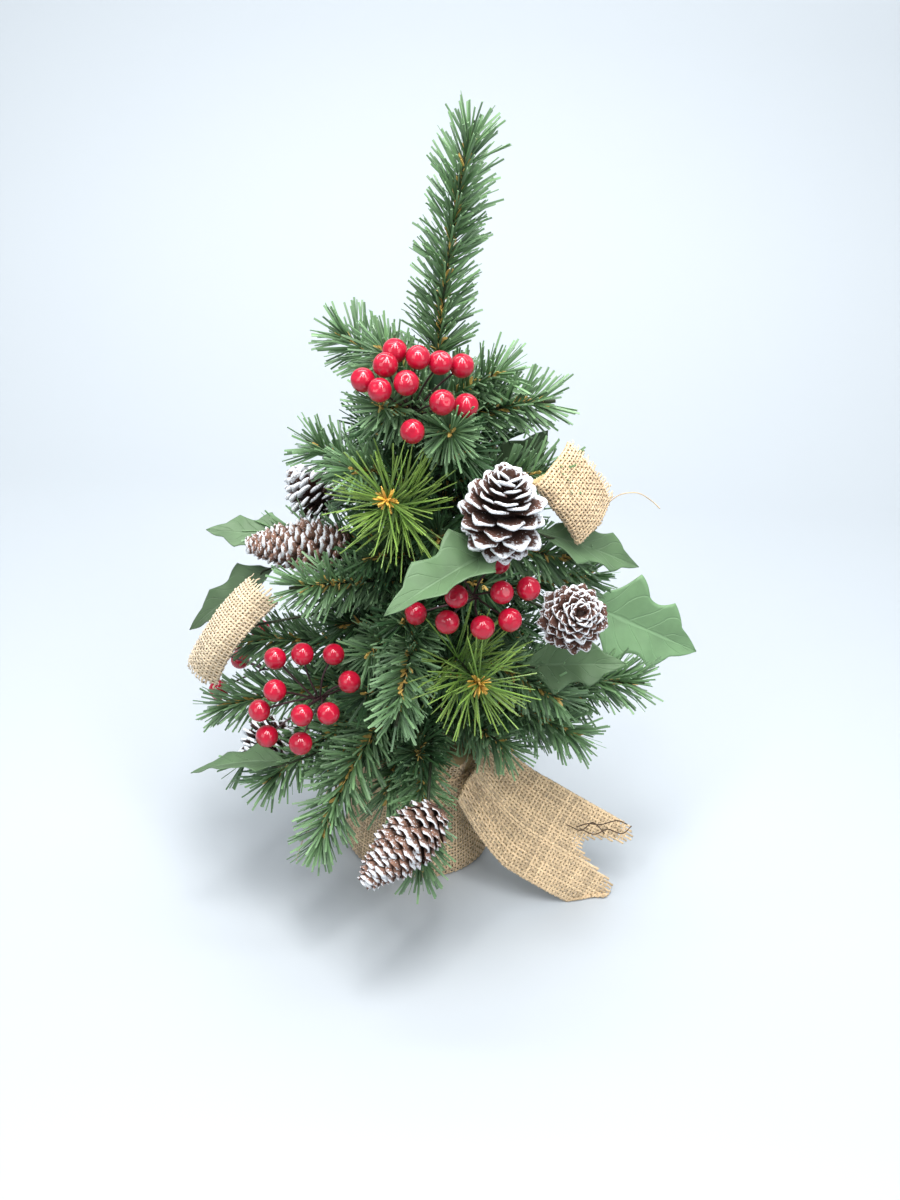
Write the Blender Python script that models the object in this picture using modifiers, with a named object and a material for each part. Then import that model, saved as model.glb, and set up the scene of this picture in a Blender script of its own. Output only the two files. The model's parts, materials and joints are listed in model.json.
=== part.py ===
"""Artificial tabletop tree with a burlap-wrapped base.

A weighted pot carries a taped trunk. Fourteen bendable needle tips and two pine picks stand on it,
with cones, berries, leaves and ribbon loops on wire picks between them. +Z is up, the front faces -Y,
and the origin is at the centre of the base on the surface that it stands on.
"""

from collections import namedtuple
from math import cos, pi, radians, sin

import bmesh
import bpy
from mathutils import Matrix, Vector

MM = 0.001
GAP = 0.3 * MM  # clearance between neighbouring pieces
BASE_SIDES = 28  # facets round the pot, the wrap and the band

# Pot, weight and burlap wrap
POT_RADIUS = 46.5 * MM
POT_TOP_RADIUS = 40.0 * MM
POT_HEIGHT = 50 * MM
POT_WALL = 1.5 * MM
WEIGHT_HEIGHT = 38 * MM
SOCKET_DEPTH = 30 * MM
BURLAP = 1.5 * MM
NECK_HEIGHT = 64 * MM
NECK_RADIUS = 41 * MM
FRILL_HEIGHT = 84 * MM
FRILL_RADIUS = 46 * MM

# Ribbon round the neck, its knot and its tail
BAND_WIDTH = 14 * MM
BAND_THICKNESS = 2.4 * MM
KNOT_AZIMUTH = 51.0
KNOT_RADIUS = 9.5 * MM
KNOT_DEPTH = 14 * MM
TAIL_WIDTH = 50 * MM
TAIL_NECK = 40 * MM
TAIL_NOTCH = 26 * MM
TAIL_THICKNESS = 1.4 * MM
TAIL_ALONG = (0.877, -0.142, -0.460)
TAIL_ACROSS = (-0.477, -0.393, -0.787)
FLOOR_GAP = 0.8 * MM

# Trunk and the tape that binds the branch wires to it
TRUNK_RADIUS = 2.5 * MM
TRUNK_TOP = 315 * MM
DRAWN_TOP = 315 * MM  # trunk top that the tables of the crown are drawn for: the crown moves up and down with it
TAPE_THICKNESS = 1.4 * MM
TAPE_BOTTOM = 88 * MM

# Branches
WIRE_RADIUS = 1.0 * MM
NEEDLE_BULK = 10.5 * MM  # radius of the packed core of a needle tip
PINE_BULK = 13 * MM
BRANCH_STEPS = 6
ROOT_GAP = 1.8 * MM  # from the tape to a wire's hinge point
LEADER_LENGTH = 126 * MM

# Picks
STEM_RADIUS = 1.0 * MM
STALK_RADIUS = 0.6 * MM
BERRY_RADIUS = 6.5 * MM
LEAF_THICKNESS = 0.8 * MM
LOOP_THICKNESS = 1.4 * MM

# name, root height, azimuth from the front toward +X, rise at the root, droop over the length, length,
# bare wire at the root, radius of the needle core
Branch = namedtuple("Branch", "name height azimuth rise droop length bare bulk")
BRANCHES = (
    Branch("top_left", 300 * MM, -103, 35, 12, 64 * MM, 12 * MM, NEEDLE_BULK),
    Branch("top_right", 286 * MM, 74, 24, 12, 64 * MM, 14 * MM, NEEDLE_BULK),
    Branch("shoulder_left", 234 * MM, -78, 37, 10, 78 * MM, 16 * MM, NEEDLE_BULK),
    Branch("mid_left", 188 * MM, -53, 15, 8, 89 * MM, 18 * MM, NEEDLE_BULK),
    Branch("mid_right", 174 * MM, 79, 22, 8, 101 * MM, 18 * MM, NEEDLE_BULK),
    Branch("mid_front", 176 * MM, -7, 7, 45, 103 * MM, 18 * MM, NEEDLE_BULK),
    Branch("low_left", 140 * MM, -85, 7, 8, 109 * MM, 20 * MM, NEEDLE_BULK),
    Branch("low_right", 118 * MM, 77, 14, 8, 130 * MM, 20 * MM, NEEDLE_BULK),
    Branch("skirt_left", 118 * MM, -30, 0, 60, 130 * MM, 20 * MM, NEEDLE_BULK),
    Branch("skirt_front", 104 * MM, 2, -3, 45, 121 * MM, 22 * MM, NEEDLE_BULK),
    Branch("back_top", 262 * MM, 170, 28, 10, 75 * MM, 14 * MM, NEEDLE_BULK),
    Branch("back_left", 150 * MM, -140, 13, 15, 107 * MM, 20 * MM, NEEDLE_BULK),
    Branch("back_right", 196 * MM, 140, 12, 12, 90 * MM, 18 * MM, NEEDLE_BULK),
    Branch("pine_upper", 222 * MM, -16, 32, 0, 87 * MM, 36 * MM, PINE_BULK),
    Branch("pine_right", 160 * MM, 17, 9, 0, 100 * MM, 50 * MM, PINE_BULK),
)

# name, foot height on the trunk, base point, direction to the apex, length, radius, skew of the widest part
Cone = namedtuple("Cone", "name foot base axis length radius skew")
CONES = (
    Cone("cone_upper", 244 * MM, (36, -82, 250), (0.05, -0.25, 0.97), 44 * MM, 24 * MM, 0.62),
    Cone("cone_right", 204 * MM, (76, -66, 198), (0.15, -0.80, 0.58), 34 * MM, 19 * MM, 0.62),
    Cone("cone_left", 216 * MM, (-44, -12, 211), (-1.0, -0.05, 0.0), 60 * MM, 12.5 * MM, 0.80),
    Cone("cone_back_left", 226 * MM, (-62, 22, 219), (-0.70, 0.45, 0.55), 32 * MM, 18 * MM, 0.62),
    Cone("cone_lower_left", 112 * MM, (-84, -32, 98), (-0.60, -0.70, -0.40), 30 * MM, 17 * MM, 0.62),
)
FRONT_CONE = Cone("cone_front", 0, (14, -111, 104), (-0.68, -0.52, -0.52), 56 * MM, 13 * MM, 0.80)
FRONT_CONE_BRANCH = "skirt_front"
FRONT_CONE_STEM_END = (7, -18, 110)  # beside the bare wire of its branch

# name, foot height on the trunk, hub where the stalks meet, and each berry's offset from the hub, in mm
Spray = namedtuple("Spray", "name foot hub berries")
SPRAYS = (
    Spray(
        "berries_upper",
        276 * MM,
        (-13, -40, 305),
        ((-8, -9, 32), (-12, -17, 27), (-23, -18, 19), (-14, -27, 17), (-1, -26, 21), (4, -15, 31))
        + ((15, -12, 28), (26, -5, 25), (17, -26, 12), (29, -17, 8), (3, -34, -1)),
    ),
    Spray(
        "berries_centre",
        196 * MM,
        (29, -66, 209),
        ((-34, -5, -8), (-13, -28, 15), (-17, -30, 1), (1, -34, 1), (15, -30, 4), (10, -27, 18))
        + ((24, -19, 17), (8, -10, 27), (-11, -10, 25)),
    ),
    Spray(
        "berries_lower_left",
        134 * MM,
        (-62, -58, 135),
        ((-20, -6, 30), (-18, -22, 19), (-5, -5, 33), (12, -2, 32), (22, -14, 22), (12, -30, 11))
        + ((-2, -33, 11), (-27, -21, 5), (-23, -22, -11), (-3, -32, -8)),
    ),
    Spray(
        "berries_back_left",
        128 * MM,
        (-104, 12, 112),
        ((-24, -10, -10), (-25, 8, 6), (-14, -4, 22), (-16, 22, -6), (-2, 20, 18)),
    ),
)

# name, foot height on the trunk, blade root, blade tip, direction that the upper face looks, width
Leaf = namedtuple("Leaf", "name foot root tip face width")
LEAVES = (
    Leaf("leaf_left_upper", 230 * MM, (-78, 4, 206), (-131, 2, 213), (0.1, -0.5, 0.85), 34 * MM),
    Leaf("leaf_left_middle", 206 * MM, (-88, -10, 196), (-142, -22, 160), (-0.3, -0.4, 0.85), 36 * MM),
    Leaf("leaf_centre", 240 * MM, (40, -76, 247), (-19, -131, 234), (-0.1, -0.55, 0.85), 38 * MM),
    Leaf("leaf_upper_right", 236 * MM, (30, -12, 242), (62, -10, 286), (0.3, -0.9, 0.4), 44 * MM),
    Leaf("leaf_right_upper", 248 * MM, (58, -50, 243), (121, -36, 221), (-0.2, -0.6, 0.8), 34 * MM),
    Leaf("leaf_right_large", 158 * MM, (106, 4, 171), (167, 4, 142), (0.2, -0.9, 0.4), 54 * MM),
    Leaf("leaf_right_lower", 150 * MM, (56, -50, 160), (112, -62, 172), (0.0, -0.75, 0.65), 38 * MM),
    Leaf("leaf_left_lower", 96 * MM, (-74, -70, 100), (-131, -68, 98), (0.0, 0.0, 1.0), 32 * MM),
)
# half of a leaf's edge: share of the length, share of half the width
LEAF_EDGE = ((0.0, 0.06), (0.14, 0.42), (0.30, 0.94), (0.36, 0.90), (0.46, 0.62), (0.62, 0.74), (0.68, 0.66), (0.80, 0.32))

# name, foot height on the trunk, middle point, direction along, direction across, length, width, bend
Loop = namedtuple("Loop", "name foot middle along across length width bend")
LOOPS = (
    Loop("ribbon_left", 178 * MM, (-117, -42, 168), (-0.56, -0.15, -0.81), (0.66, -0.55, -0.5), 68 * MM, 30 * MM, 50),
    Loop("ribbon_right", 250 * MM, (78, -46, 266), (0.62, 0.1, -0.78), (-0.5, -0.72, -0.48), 46 * MM, 30 * MM, 60),
)

COLOURS = {
    "plastic": ((0.03, 0.05, 0.035), 0.5, 0.0),
    "plaster": ((0.72, 0.70, 0.66), 0.9, 0.0),
    "burlap": ((0.62, 0.47, 0.30), 0.95, 0.0),
    "wire": ((0.10, 0.12, 0.07), 0.45, 0.6),
    "tape": ((0.05, 0.10, 0.05), 0.7, 0.0),
    "needles": ((0.03, 0.13, 0.06), 0.55, 0.0),
    "pine": ((0.10, 0.24, 0.05), 0.5, 0.0),
    "cone": ((0.32, 0.20, 0.14), 0.8, 0.0),
    "berry": ((0.62, 0.02, 0.06), 0.12, 0.0),
    "leaf": ((0.18, 0.36, 0.17), 0.6, 0.0),
}


def at(point_mm):
    """An offset given in whole millimetres."""
    return Vector(point_mm) * MM


def crown_height(height):
    """Height of a root or foot of the crown, which keeps its distance from the trunk's top."""
    return height + TRUNK_TOP - DRAWN_TOP


def crown_point(point_mm):
    """A point of the crown given in whole millimetres."""
    point = at(point_mm)
    return Vector((point.x, point.y, crown_height(point.z)))


def heading(azimuth):
    """Unit vector from the trunk outward, at an azimuth counted from the front toward +X."""
    return Vector((sin(radians(azimuth)), -cos(radians(azimuth)), 0))


def material(name):
    made = bpy.data.materials.get(name)
    if made is None:
        colour, roughness, metallic = COLOURS[name]
        made = bpy.data.materials.new(name)
        made.use_nodes = True
        shader = made.node_tree.nodes["Principled BSDF"]
        shader.inputs["Base Color"].default_value = (*colour, 1)
        shader.inputs["Roughness"].default_value = roughness
        shader.inputs["Metallic"].default_value = metallic
    return made


def add(name, data, look, collection):
    obj = bpy.data.objects.new(name, data)
    obj.data.materials.append(material(look))
    collection.objects.link(obj)
    return obj


def turned(name, outline, look, collection, steps, closed=False):
    """A solid turned about Z from (radius, height) points that run down the outer side."""
    shape = bmesh.new()
    corners = [shape.verts.new((radius, 0, height)) for radius, height in outline]
    pairs = list(zip(corners, corners[1:]))
    if closed:
        pairs.append((corners[-1], corners[0]))
    for pair in pairs:
        shape.edges.new(pair)
    data = bpy.data.meshes.new(name)
    shape.to_mesh(data)
    shape.free()
    obj = add(name, data, look, collection)
    screw = obj.modifiers.new("Turn", "SCREW")
    screw.steps = screw.render_steps = steps
    screw.use_merge_vertices = True
    screw.merge_threshold = 0.00001
    return obj


def tube(name, points, radius, look, collection, swell=None):
    """A round rod along the points; swell scales its radius at each point."""
    data = bpy.data.curves.new(name, "CURVE")
    data.dimensions = "3D"
    data.bevel_depth = radius
    data.bevel_resolution = 2
    data.use_fill_caps = True
    spline = data.splines.new("POLY")
    spline.points.add(len(points) - 1)
    for index, point in enumerate(points):
        spline.points[index].co = (*point, 1)
        spline.points[index].radius = swell[index] if swell else 1
    return add(name, data, look, collection)


def plate(name, outline, thickness, look, collection):
    """A flat outline in the XY plane with a thickness along Z."""
    data = bpy.data.curves.new(name, "CURVE")
    data.dimensions = "2D"
    data.fill_mode = "BOTH"
    data.extrude = thickness / 2
    spline = data.splines.new("POLY")
    spline.points.add(len(outline) - 1)
    spline.use_cyclic_u = True
    for index, (x, y) in enumerate(outline):
        spline.points[index].co = (x, y, 0, 1)
    return add(name, data, look, collection)


def as_mesh(obj, collection):
    """The same object as a mesh with welded caps and its modifiers applied."""
    bpy.context.view_layer.update()
    graph = bpy.context.evaluated_depsgraph_get()
    data = bpy.data.meshes.new_from_object(obj.evaluated_get(graph))
    shape = bmesh.new()
    shape.from_mesh(data)
    bmesh.ops.remove_doubles(shape, verts=shape.verts, dist=0.00001)
    bmesh.ops.recalc_face_normals(shape, faces=shape.faces)
    shape.to_mesh(data)
    shape.free()
    name, matrix = obj.name, obj.matrix_world.copy()
    bpy.data.objects.remove(obj)
    made = bpy.data.objects.new(name, data)
    made.matrix_world = matrix
    collection.objects.link(made)
    return made


def make_helper(obj, helpers):
    for user in list(obj.users_collection):
        user.objects.unlink(obj)
    helpers.objects.link(obj)
    obj.hide_render = True
    obj.display_type = "WIRE"


def combine(obj, other, operation, helpers):
    make_helper(other, helpers)
    boolean = obj.modifiers.new(other.name, "BOOLEAN")
    boolean.operation = operation
    boolean.solver = "EXACT"
    boolean.object = other


def smooth(obj, angle=40):
    if obj.type == "MESH":
        obj.data.shade_smooth()
        obj.data.set_sharp_from_angle(angle=radians(angle))


def frame_matrix(origin, along, across):
    """A frame with X along, Y as near across as a right angle allows, at the origin."""
    x = Vector(along).normalized()
    z = x.cross(Vector(across)).normalized()
    y = z.cross(x)
    return Matrix.Translation(origin) @ Matrix((x, y, z)).transposed().to_4x4()


def make_pot(tree):
    floor = BURLAP + GAP
    inner_floor = floor + POT_WALL
    turned(
        "base_cup",
        [
            (POT_TOP_RADIUS, floor + POT_HEIGHT),
            (POT_RADIUS, floor),
            (0, floor),
        ]
        + [
            (0, inner_floor),
            (POT_RADIUS - POT_WALL, inner_floor),
            (POT_TOP_RADIUS - POT_WALL, floor + POT_HEIGHT),
        ],
        "plastic",
        tree,
        steps=BASE_SIDES,
        closed=True,
    )


def pot_inner_radius(height):
    """Inside radius of the pot at a height above its own floor."""
    inner_height = POT_HEIGHT - POT_WALL
    share = (height - POT_WALL) / inner_height
    return POT_RADIUS - POT_WALL + share * (POT_TOP_RADIUS - POT_RADIUS)


def weight_top():
    return BURLAP + GAP + POT_WALL + GAP + WEIGHT_HEIGHT


def make_weight(tree):
    bottom = BURLAP + GAP + POT_WALL + GAP
    top = weight_top()
    socket = TRUNK_RADIUS + GAP
    turned(
        "base_weight",
        [
            (socket, top),
            (pot_inner_radius(POT_WALL + GAP + WEIGHT_HEIGHT) - 2 * GAP, top),
            (pot_inner_radius(POT_WALL + GAP) - 2 * GAP, bottom),
            (0, bottom),
            (0, top - SOCKET_DEPTH),
            (socket, top - SOCKET_DEPTH),
        ],
        "plaster",
        tree,
        steps=BASE_SIDES,
        closed=True,
    )


def make_wrap(tree):
    bottom_radius = POT_RADIUS + GAP + BURLAP
    rim_radius = POT_TOP_RADIUS + 2 * GAP + BURLAP
    rim_height = BURLAP + GAP + POT_HEIGHT
    outer = [
        (FRILL_RADIUS, FRILL_HEIGHT),
        (NECK_RADIUS + 1.5 * MM, NECK_HEIGHT + BAND_WIDTH / 2 + GAP),
        (NECK_RADIUS, NECK_HEIGHT + BAND_WIDTH / 2),
        (NECK_RADIUS, NECK_HEIGHT - BAND_WIDTH / 2),
        (max(rim_radius, NECK_RADIUS) + 1 * MM, rim_height),
        (bottom_radius + 0.8 * MM, BURLAP + 6 * MM),
        (bottom_radius, 0),
        (0, 0),
    ]
    inner = [
        (0, BURLAP),
        (bottom_radius - BURLAP, BURLAP),
        (bottom_radius - BURLAP + 0.8 * MM, BURLAP + 6 * MM),
        (max(rim_radius, NECK_RADIUS) + 1 * MM - BURLAP, rim_height),
        (NECK_RADIUS - BURLAP, NECK_HEIGHT - BAND_WIDTH / 2),
        (NECK_RADIUS - BURLAP, NECK_HEIGHT + BAND_WIDTH / 2),
        (NECK_RADIUS, NECK_HEIGHT + BAND_WIDTH / 2 + GAP),
        (FRILL_RADIUS - BURLAP, FRILL_HEIGHT),
    ]
    turned("base_wrap", outer + inner, "burlap", tree, steps=BASE_SIDES, closed=True)


def make_band(tree):
    inner = NECK_RADIUS + GAP
    outer = inner + BAND_THICKNESS
    low = NECK_HEIGHT - BAND_WIDTH / 2 + GAP
    high = NECK_HEIGHT + BAND_WIDTH / 2 - GAP
    turned(
        "wrap_tie",
        [(inner, high), (outer, high - 1 * MM), (outer, low + 1 * MM), (inner, low)],
        "burlap",
        tree,
        steps=BASE_SIDES,
        closed=True,
    )


def knot_centre():
    reach = NECK_RADIUS + GAP + BAND_THICKNESS + GAP + KNOT_DEPTH / 2
    return heading(KNOT_AZIMUTH) * reach + Vector((0, 0, NECK_HEIGHT))


def make_knot(tree):
    shape = bmesh.new()
    bmesh.ops.create_uvsphere(shape, u_segments=14, v_segments=8, radius=KNOT_RADIUS)
    flatten = Matrix.Diagonal((KNOT_DEPTH / 2 / KNOT_RADIUS, 1, 0.95, 1))
    bmesh.ops.transform(shape, matrix=flatten, verts=shape.verts)
    data = bpy.data.meshes.new("tie_knot")
    shape.to_mesh(data)
    shape.free()
    knot = add("tie_knot", data, "burlap", tree)
    knot.location = knot_centre()
    knot.rotation_euler.z = radians(KNOT_AZIMUTH - 90)
    smooth(knot)


def make_tail(tree):
    """The tail starts beside the knot and is just long enough for its lower corner to reach the floor."""
    along = Vector(TAIL_ALONG).normalized()
    start = knot_centre() + along * (KNOT_RADIUS + GAP)
    matrix = frame_matrix(start, along, TAIL_ACROSS)
    across = matrix.to_3x3().col[1]
    drop = start.z + across.z * TAIL_WIDTH / 2 - FLOOR_GAP - TAIL_THICKNESS / 2
    length = drop / -along.z
    half = TAIL_WIDTH / 2
    outline = [
        (0, -TAIL_NECK / 2),
        (0.3 * length, -half),
        (length, -half),
        (length - TAIL_NOTCH, 0),
        (length, half),
        (0.3 * length, half),
        (0, TAIL_NECK / 2),
    ]
    plate("tie_tail", outline, TAIL_THICKNESS, "burlap", tree).matrix_world = matrix


def make_trunk(tree):
    foot = weight_top() - SOCKET_DEPTH + GAP
    turned(
        "trunk",
        [(0, TRUNK_TOP), (TRUNK_RADIUS, TRUNK_TOP), (TRUNK_RADIUS, foot), (0, foot)],
        "wire",
        tree,
        steps=16,
    )
    bore = TRUNK_RADIUS + GAP
    outer = bore + TAPE_THICKNESS
    top = TRUNK_TOP - 1 * MM
    turned(
        "trunk_tape",
        [(bore, top), (outer, top - 1 * MM), (outer, TAPE_BOTTOM + 1 * MM), (bore, TAPE_BOTTOM)],
        "tape",
        tree,
        steps=16,
        closed=True,
    )


def branch_path(branch):
    """Points along a branch in its own plane: X outward, Z up, from its root."""
    lengths = [branch.bare] + [(branch.length - branch.bare) / (BRANCH_STEPS - 1)] * (BRANCH_STEPS - 1)
    points = [Vector((0, 0, 0))]
    done = 0
    for step in lengths:
        slope = radians(branch.rise - branch.droop * (done + step / 2) / branch.length)
        points.append(points[-1] + Vector((cos(slope), 0, sin(slope))) * step)
        done += step
    return points


def past_end(points, distance):
    """The point that carries on straight past the last one."""
    return points[-1] + (points[-1] - points[-2]).normalized() * distance


def make_branch(branch, root, tree, helpers):
    """A wire on a hinge empty at its root, with a tapered needle core round it."""
    hinge = bpy.data.objects.new(branch.name + "_hinge", None)
    hinge.location = root
    hinge.rotation_euler.z = radians(branch.azimuth - 90)
    hinge.empty_display_size = 10 * MM
    tree.objects.link(hinge)
    points = branch_path(branch)
    wire = tube(branch.name + "_wire", points, WIRE_RADIUS, "wire", tree)
    sheathed = points[1:] + [past_end(points, 4 * MM)]
    swell = [0.5] + [0.9] + [1.0] * (len(sheathed) - 4) + [0.95, 0.7]
    look = "pine" if branch.bulk == PINE_BULK else "needles"
    needles = as_mesh(tube(branch.name + "_needles", sheathed, branch.bulk, look, tree, swell), tree)
    bore_path = [sheathed[0] - (points[1] - points[0]).normalized() * 3 * MM] + sheathed[:-1]
    bore_path.append(past_end(bore_path, 9 * MM))
    bore = as_mesh(tube(branch.name + "_bore", bore_path, WIRE_RADIUS + 2 * GAP, "wire", tree), tree)
    combine(needles, bore, "DIFFERENCE", helpers)
    for piece in (wire, needles, bore):
        piece.parent = hinge
    smooth(needles)
    return hinge


def cone_outline(cone):
    """Egg-shaped profile from the apex down to the base."""
    outline = [(0, cone.length)]
    for step in range(8, 0, -1):
        share = step / 9
        outline.append((cone.radius * sin(pi * share**cone.skew) ** 0.6, share * cone.length))
    return outline + [(0, 0)]


def stem_to(foot_height, target):
    """Points of a pick's stem, from just outside the tape to the target."""
    outward = Vector((target.x, target.y, 0)).normalized()
    foot = outward * (TRUNK_RADIUS + GAP + TAPE_THICKNESS + ROOT_GAP) + Vector((0, 0, crown_height(foot_height)))
    return [foot, target]


def place_cone(cone, tree):
    body = turned(cone.name, cone_outline(cone), "cone", tree, steps=14)
    axis = Vector(cone.axis).normalized()
    body.rotation_euler = axis.to_track_quat("Z", "Y").to_euler()
    body.location = crown_point(cone.base)
    body = as_mesh(body, tree)
    smooth(body)
    return body, axis


def make_cone(cone, tree, helpers):
    body, axis = place_cone(cone, tree)
    inside = crown_point(cone.base) + axis * cone.length / 3
    stem = as_mesh(tube(cone.name + "_stem", stem_to(cone.foot, inside), STEM_RADIUS, "wire", tree), tree)
    combine(body, stem, "UNION", helpers)


def make_front_cone(hinge, tree, helpers):
    """The long front cone is wired to a branch and moves with it."""
    body, axis = place_cone(FRONT_CONE, tree)
    inside = crown_point(FRONT_CONE.base) + axis * FRONT_CONE.length / 4
    stem = tube("cone_front_stem", [crown_point(FRONT_CONE_STEM_END), inside], STEM_RADIUS, "wire", tree)
    stem = as_mesh(stem, tree)
    combine(body, stem, "UNION", helpers)
    bpy.context.view_layer.update()
    for piece in (body, stem):
        piece.parent = hinge
        piece.matrix_parent_inverse = hinge.matrix_world.inverted()


def make_spray(spray, tree, helpers):
    """Berries on stalks that meet at a hub, on one stem."""
    hub = crown_point(spray.hub)
    stem = as_mesh(tube(spray.name, stem_to(spray.foot, hub), STEM_RADIUS, "berry", tree), tree)
    joined = bpy.data.collections.new(spray.name + "_joined")
    helpers.children.link(joined)
    toward_foot = (stem_to(spray.foot, hub)[0] - hub).normalized()
    for number, offset in enumerate(spray.berries, 1):
        centre = hub + at(offset)
        start = hub + toward_foot * (1.0 + 0.9 * number) * MM
        stalk = as_mesh(tube(f"{spray.name}_stalk_{number}", [start, centre], STALK_RADIUS, "wire", tree), tree)
        make_helper(stalk, joined)
        shape = bmesh.new()
        bmesh.ops.create_uvsphere(shape, u_segments=8, v_segments=6, radius=BERRY_RADIUS)
        data = bpy.data.meshes.new(f"{spray.name}_berry_{number}")
        shape.to_mesh(data)
        shape.free()
        berry = add(data.name, data, "berry", tree)
        berry.rotation_euler = (centre - start).to_track_quat("Z", "Y").to_euler()
        berry.location = centre
        make_helper(berry, joined)
    boolean = stem.modifiers.new("Berries", "BOOLEAN")
    boolean.operation = "UNION"
    boolean.solver = "EXACT"
    boolean.operand_type = "COLLECTION"
    boolean.collection = joined


def make_leaf(leaf, tree, helpers):
    root, tip = crown_point(leaf.root), crown_point(leaf.tip)
    along = tip - root
    matrix = frame_matrix(root, along, Vector(leaf.face).cross(along))
    edge = [(x * along.length, y * leaf.width / 2) for x, y in LEAF_EDGE]
    outline = edge + [(along.length, 0)] + [(x, -y) for x, y in reversed(edge)]
    blade = plate(leaf.name, outline, LEAF_THICKNESS, "leaf", tree)
    blade.matrix_world = matrix
    blade = as_mesh(blade, tree)
    inside = root + along * 0.22
    stem = as_mesh(tube(leaf.name + "_stem", stem_to(leaf.foot, inside), STEM_RADIUS, "wire", tree), tree)
    combine(blade, stem, "UNION", helpers)


def make_loop(loop, tree, helpers):
    """A bent strip of ribbon, pinned at its middle by a stem."""
    half_turn = radians(loop.bend) / 2
    radius = loop.length / 2 / half_turn
    data = bpy.data.curves.new(loop.name, "CURVE")
    data.dimensions = "3D"
    data.extrude = loop.width / 2
    spline = data.splines.new("POLY")
    count = 9
    spline.points.add(count - 1)
    for index in range(count):
        turn = half_turn * (2 * index / (count - 1) - 1)
        spline.points[index].co = (radius * sin(turn), 0, radius * (cos(turn) - 1), 1)
        spline.points[index].tilt = pi / 2
    strip = add(loop.name, data, "burlap", tree)
    strip.matrix_world = frame_matrix(crown_point(loop.middle), loop.along, loop.across)
    thicken = strip.modifiers.new("Thickness", "SOLIDIFY")
    thicken.thickness = LOOP_THICKNESS
    thicken.offset = 0
    strip = as_mesh(strip, tree)
    middle = crown_point(loop.middle)
    stem = as_mesh(tube(loop.name + "_stem", stem_to(loop.foot, middle), STEM_RADIUS, "wire", tree), tree)
    combine(strip, stem, "UNION", helpers)


def main():
    for obj in list(bpy.data.objects):
        bpy.data.objects.remove(obj)
    scene = bpy.context.scene
    tree = bpy.data.collections.new("tabletop_tree")
    helpers = bpy.data.collections.new("cutters")
    scene.collection.children.link(tree)
    scene.collection.children.link(helpers)

    make_pot(tree)
    make_weight(tree)
    make_wrap(tree)
    make_band(tree)
    make_knot(tree)
    make_tail(tree)
    make_trunk(tree)

    leader = Branch("leader", TRUNK_TOP, 90, 89, 10, LEADER_LENGTH, 8 * MM, NEEDLE_BULK)
    make_branch(leader, Vector((0, 0, TRUNK_TOP + ROOT_GAP)), tree, helpers)
    root_reach = TRUNK_RADIUS + GAP + TAPE_THICKNESS + ROOT_GAP
    hinges = {}
    for branch in BRANCHES:
        root = heading(branch.azimuth) * root_reach + Vector((0, 0, crown_height(branch.height)))
        hinges[branch.name] = make_branch(branch, root, tree, helpers)
    for cone in CONES:
        make_cone(cone, tree, helpers)
    make_front_cone(hinges[FRONT_CONE_BRANCH], tree, helpers)
    for spray in SPRAYS:
        make_spray(spray, tree, helpers)
    for leaf in LEAVES:
        make_leaf(leaf, tree, helpers)
    for loop in LOOPS:
        make_loop(loop, tree, helpers)


main()
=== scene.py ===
"""The look of an artificial tabletop tree: needle tips, pine picks, cones, berries, leaves and burlap.

The needles, cone scales and bud scales grow in Geometry Nodes on the wires of the loaded frame. The burlap
is woven thread by thread over the surfaces that it covers. Lengths are in metres, +Z is up, front is -Y.
"""

import json
from collections import namedtuple
from math import cos, pi, radians, sin

import bmesh
import bpy
import numpy as np
from bpy.props import FloatProperty, FloatVectorProperty, IntProperty, PointerProperty
from bpy.types import Operator, Panel, PropertyGroup
from mathutils import Matrix, Vector

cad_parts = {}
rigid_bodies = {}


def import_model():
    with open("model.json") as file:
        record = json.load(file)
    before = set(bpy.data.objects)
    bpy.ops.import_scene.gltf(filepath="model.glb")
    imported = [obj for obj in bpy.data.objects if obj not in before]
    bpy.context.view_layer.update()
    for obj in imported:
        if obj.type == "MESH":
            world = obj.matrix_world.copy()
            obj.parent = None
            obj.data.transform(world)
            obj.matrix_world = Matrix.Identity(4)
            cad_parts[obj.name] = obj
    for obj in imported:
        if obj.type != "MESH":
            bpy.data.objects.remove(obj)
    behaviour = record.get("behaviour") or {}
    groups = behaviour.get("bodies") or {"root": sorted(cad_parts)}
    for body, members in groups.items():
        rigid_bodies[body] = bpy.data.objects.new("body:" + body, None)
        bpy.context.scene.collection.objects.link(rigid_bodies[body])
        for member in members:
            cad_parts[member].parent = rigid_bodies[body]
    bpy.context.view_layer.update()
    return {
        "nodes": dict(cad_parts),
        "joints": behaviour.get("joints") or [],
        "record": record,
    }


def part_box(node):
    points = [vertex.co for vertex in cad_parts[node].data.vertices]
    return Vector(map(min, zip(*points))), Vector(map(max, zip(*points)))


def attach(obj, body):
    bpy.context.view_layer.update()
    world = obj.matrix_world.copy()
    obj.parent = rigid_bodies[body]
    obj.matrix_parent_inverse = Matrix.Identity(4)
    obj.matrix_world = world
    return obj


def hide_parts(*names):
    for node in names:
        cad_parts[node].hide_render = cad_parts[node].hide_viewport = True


bl_info = {
    "name": "Tabletop Tree Look",
    "version": (1, 0, 0),
    "blender": (4, 5, 0),
    "location": "View3D > Sidebar > Tree",
    "description": "Builds needles, cones, berries, leaves and burlap on a framed tabletop tree",
    "category": "Object",
}

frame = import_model()
MM = 0.001
TRUNK = "base_and_trunk"
PINE_PICKS = ("pine_upper", "pine_right")
GOLDEN_ANGLE = 2.39996
TIP_TRIM = 9 * MM  # the last needles lean forward past the end of the wire, so they start this far before it

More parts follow.
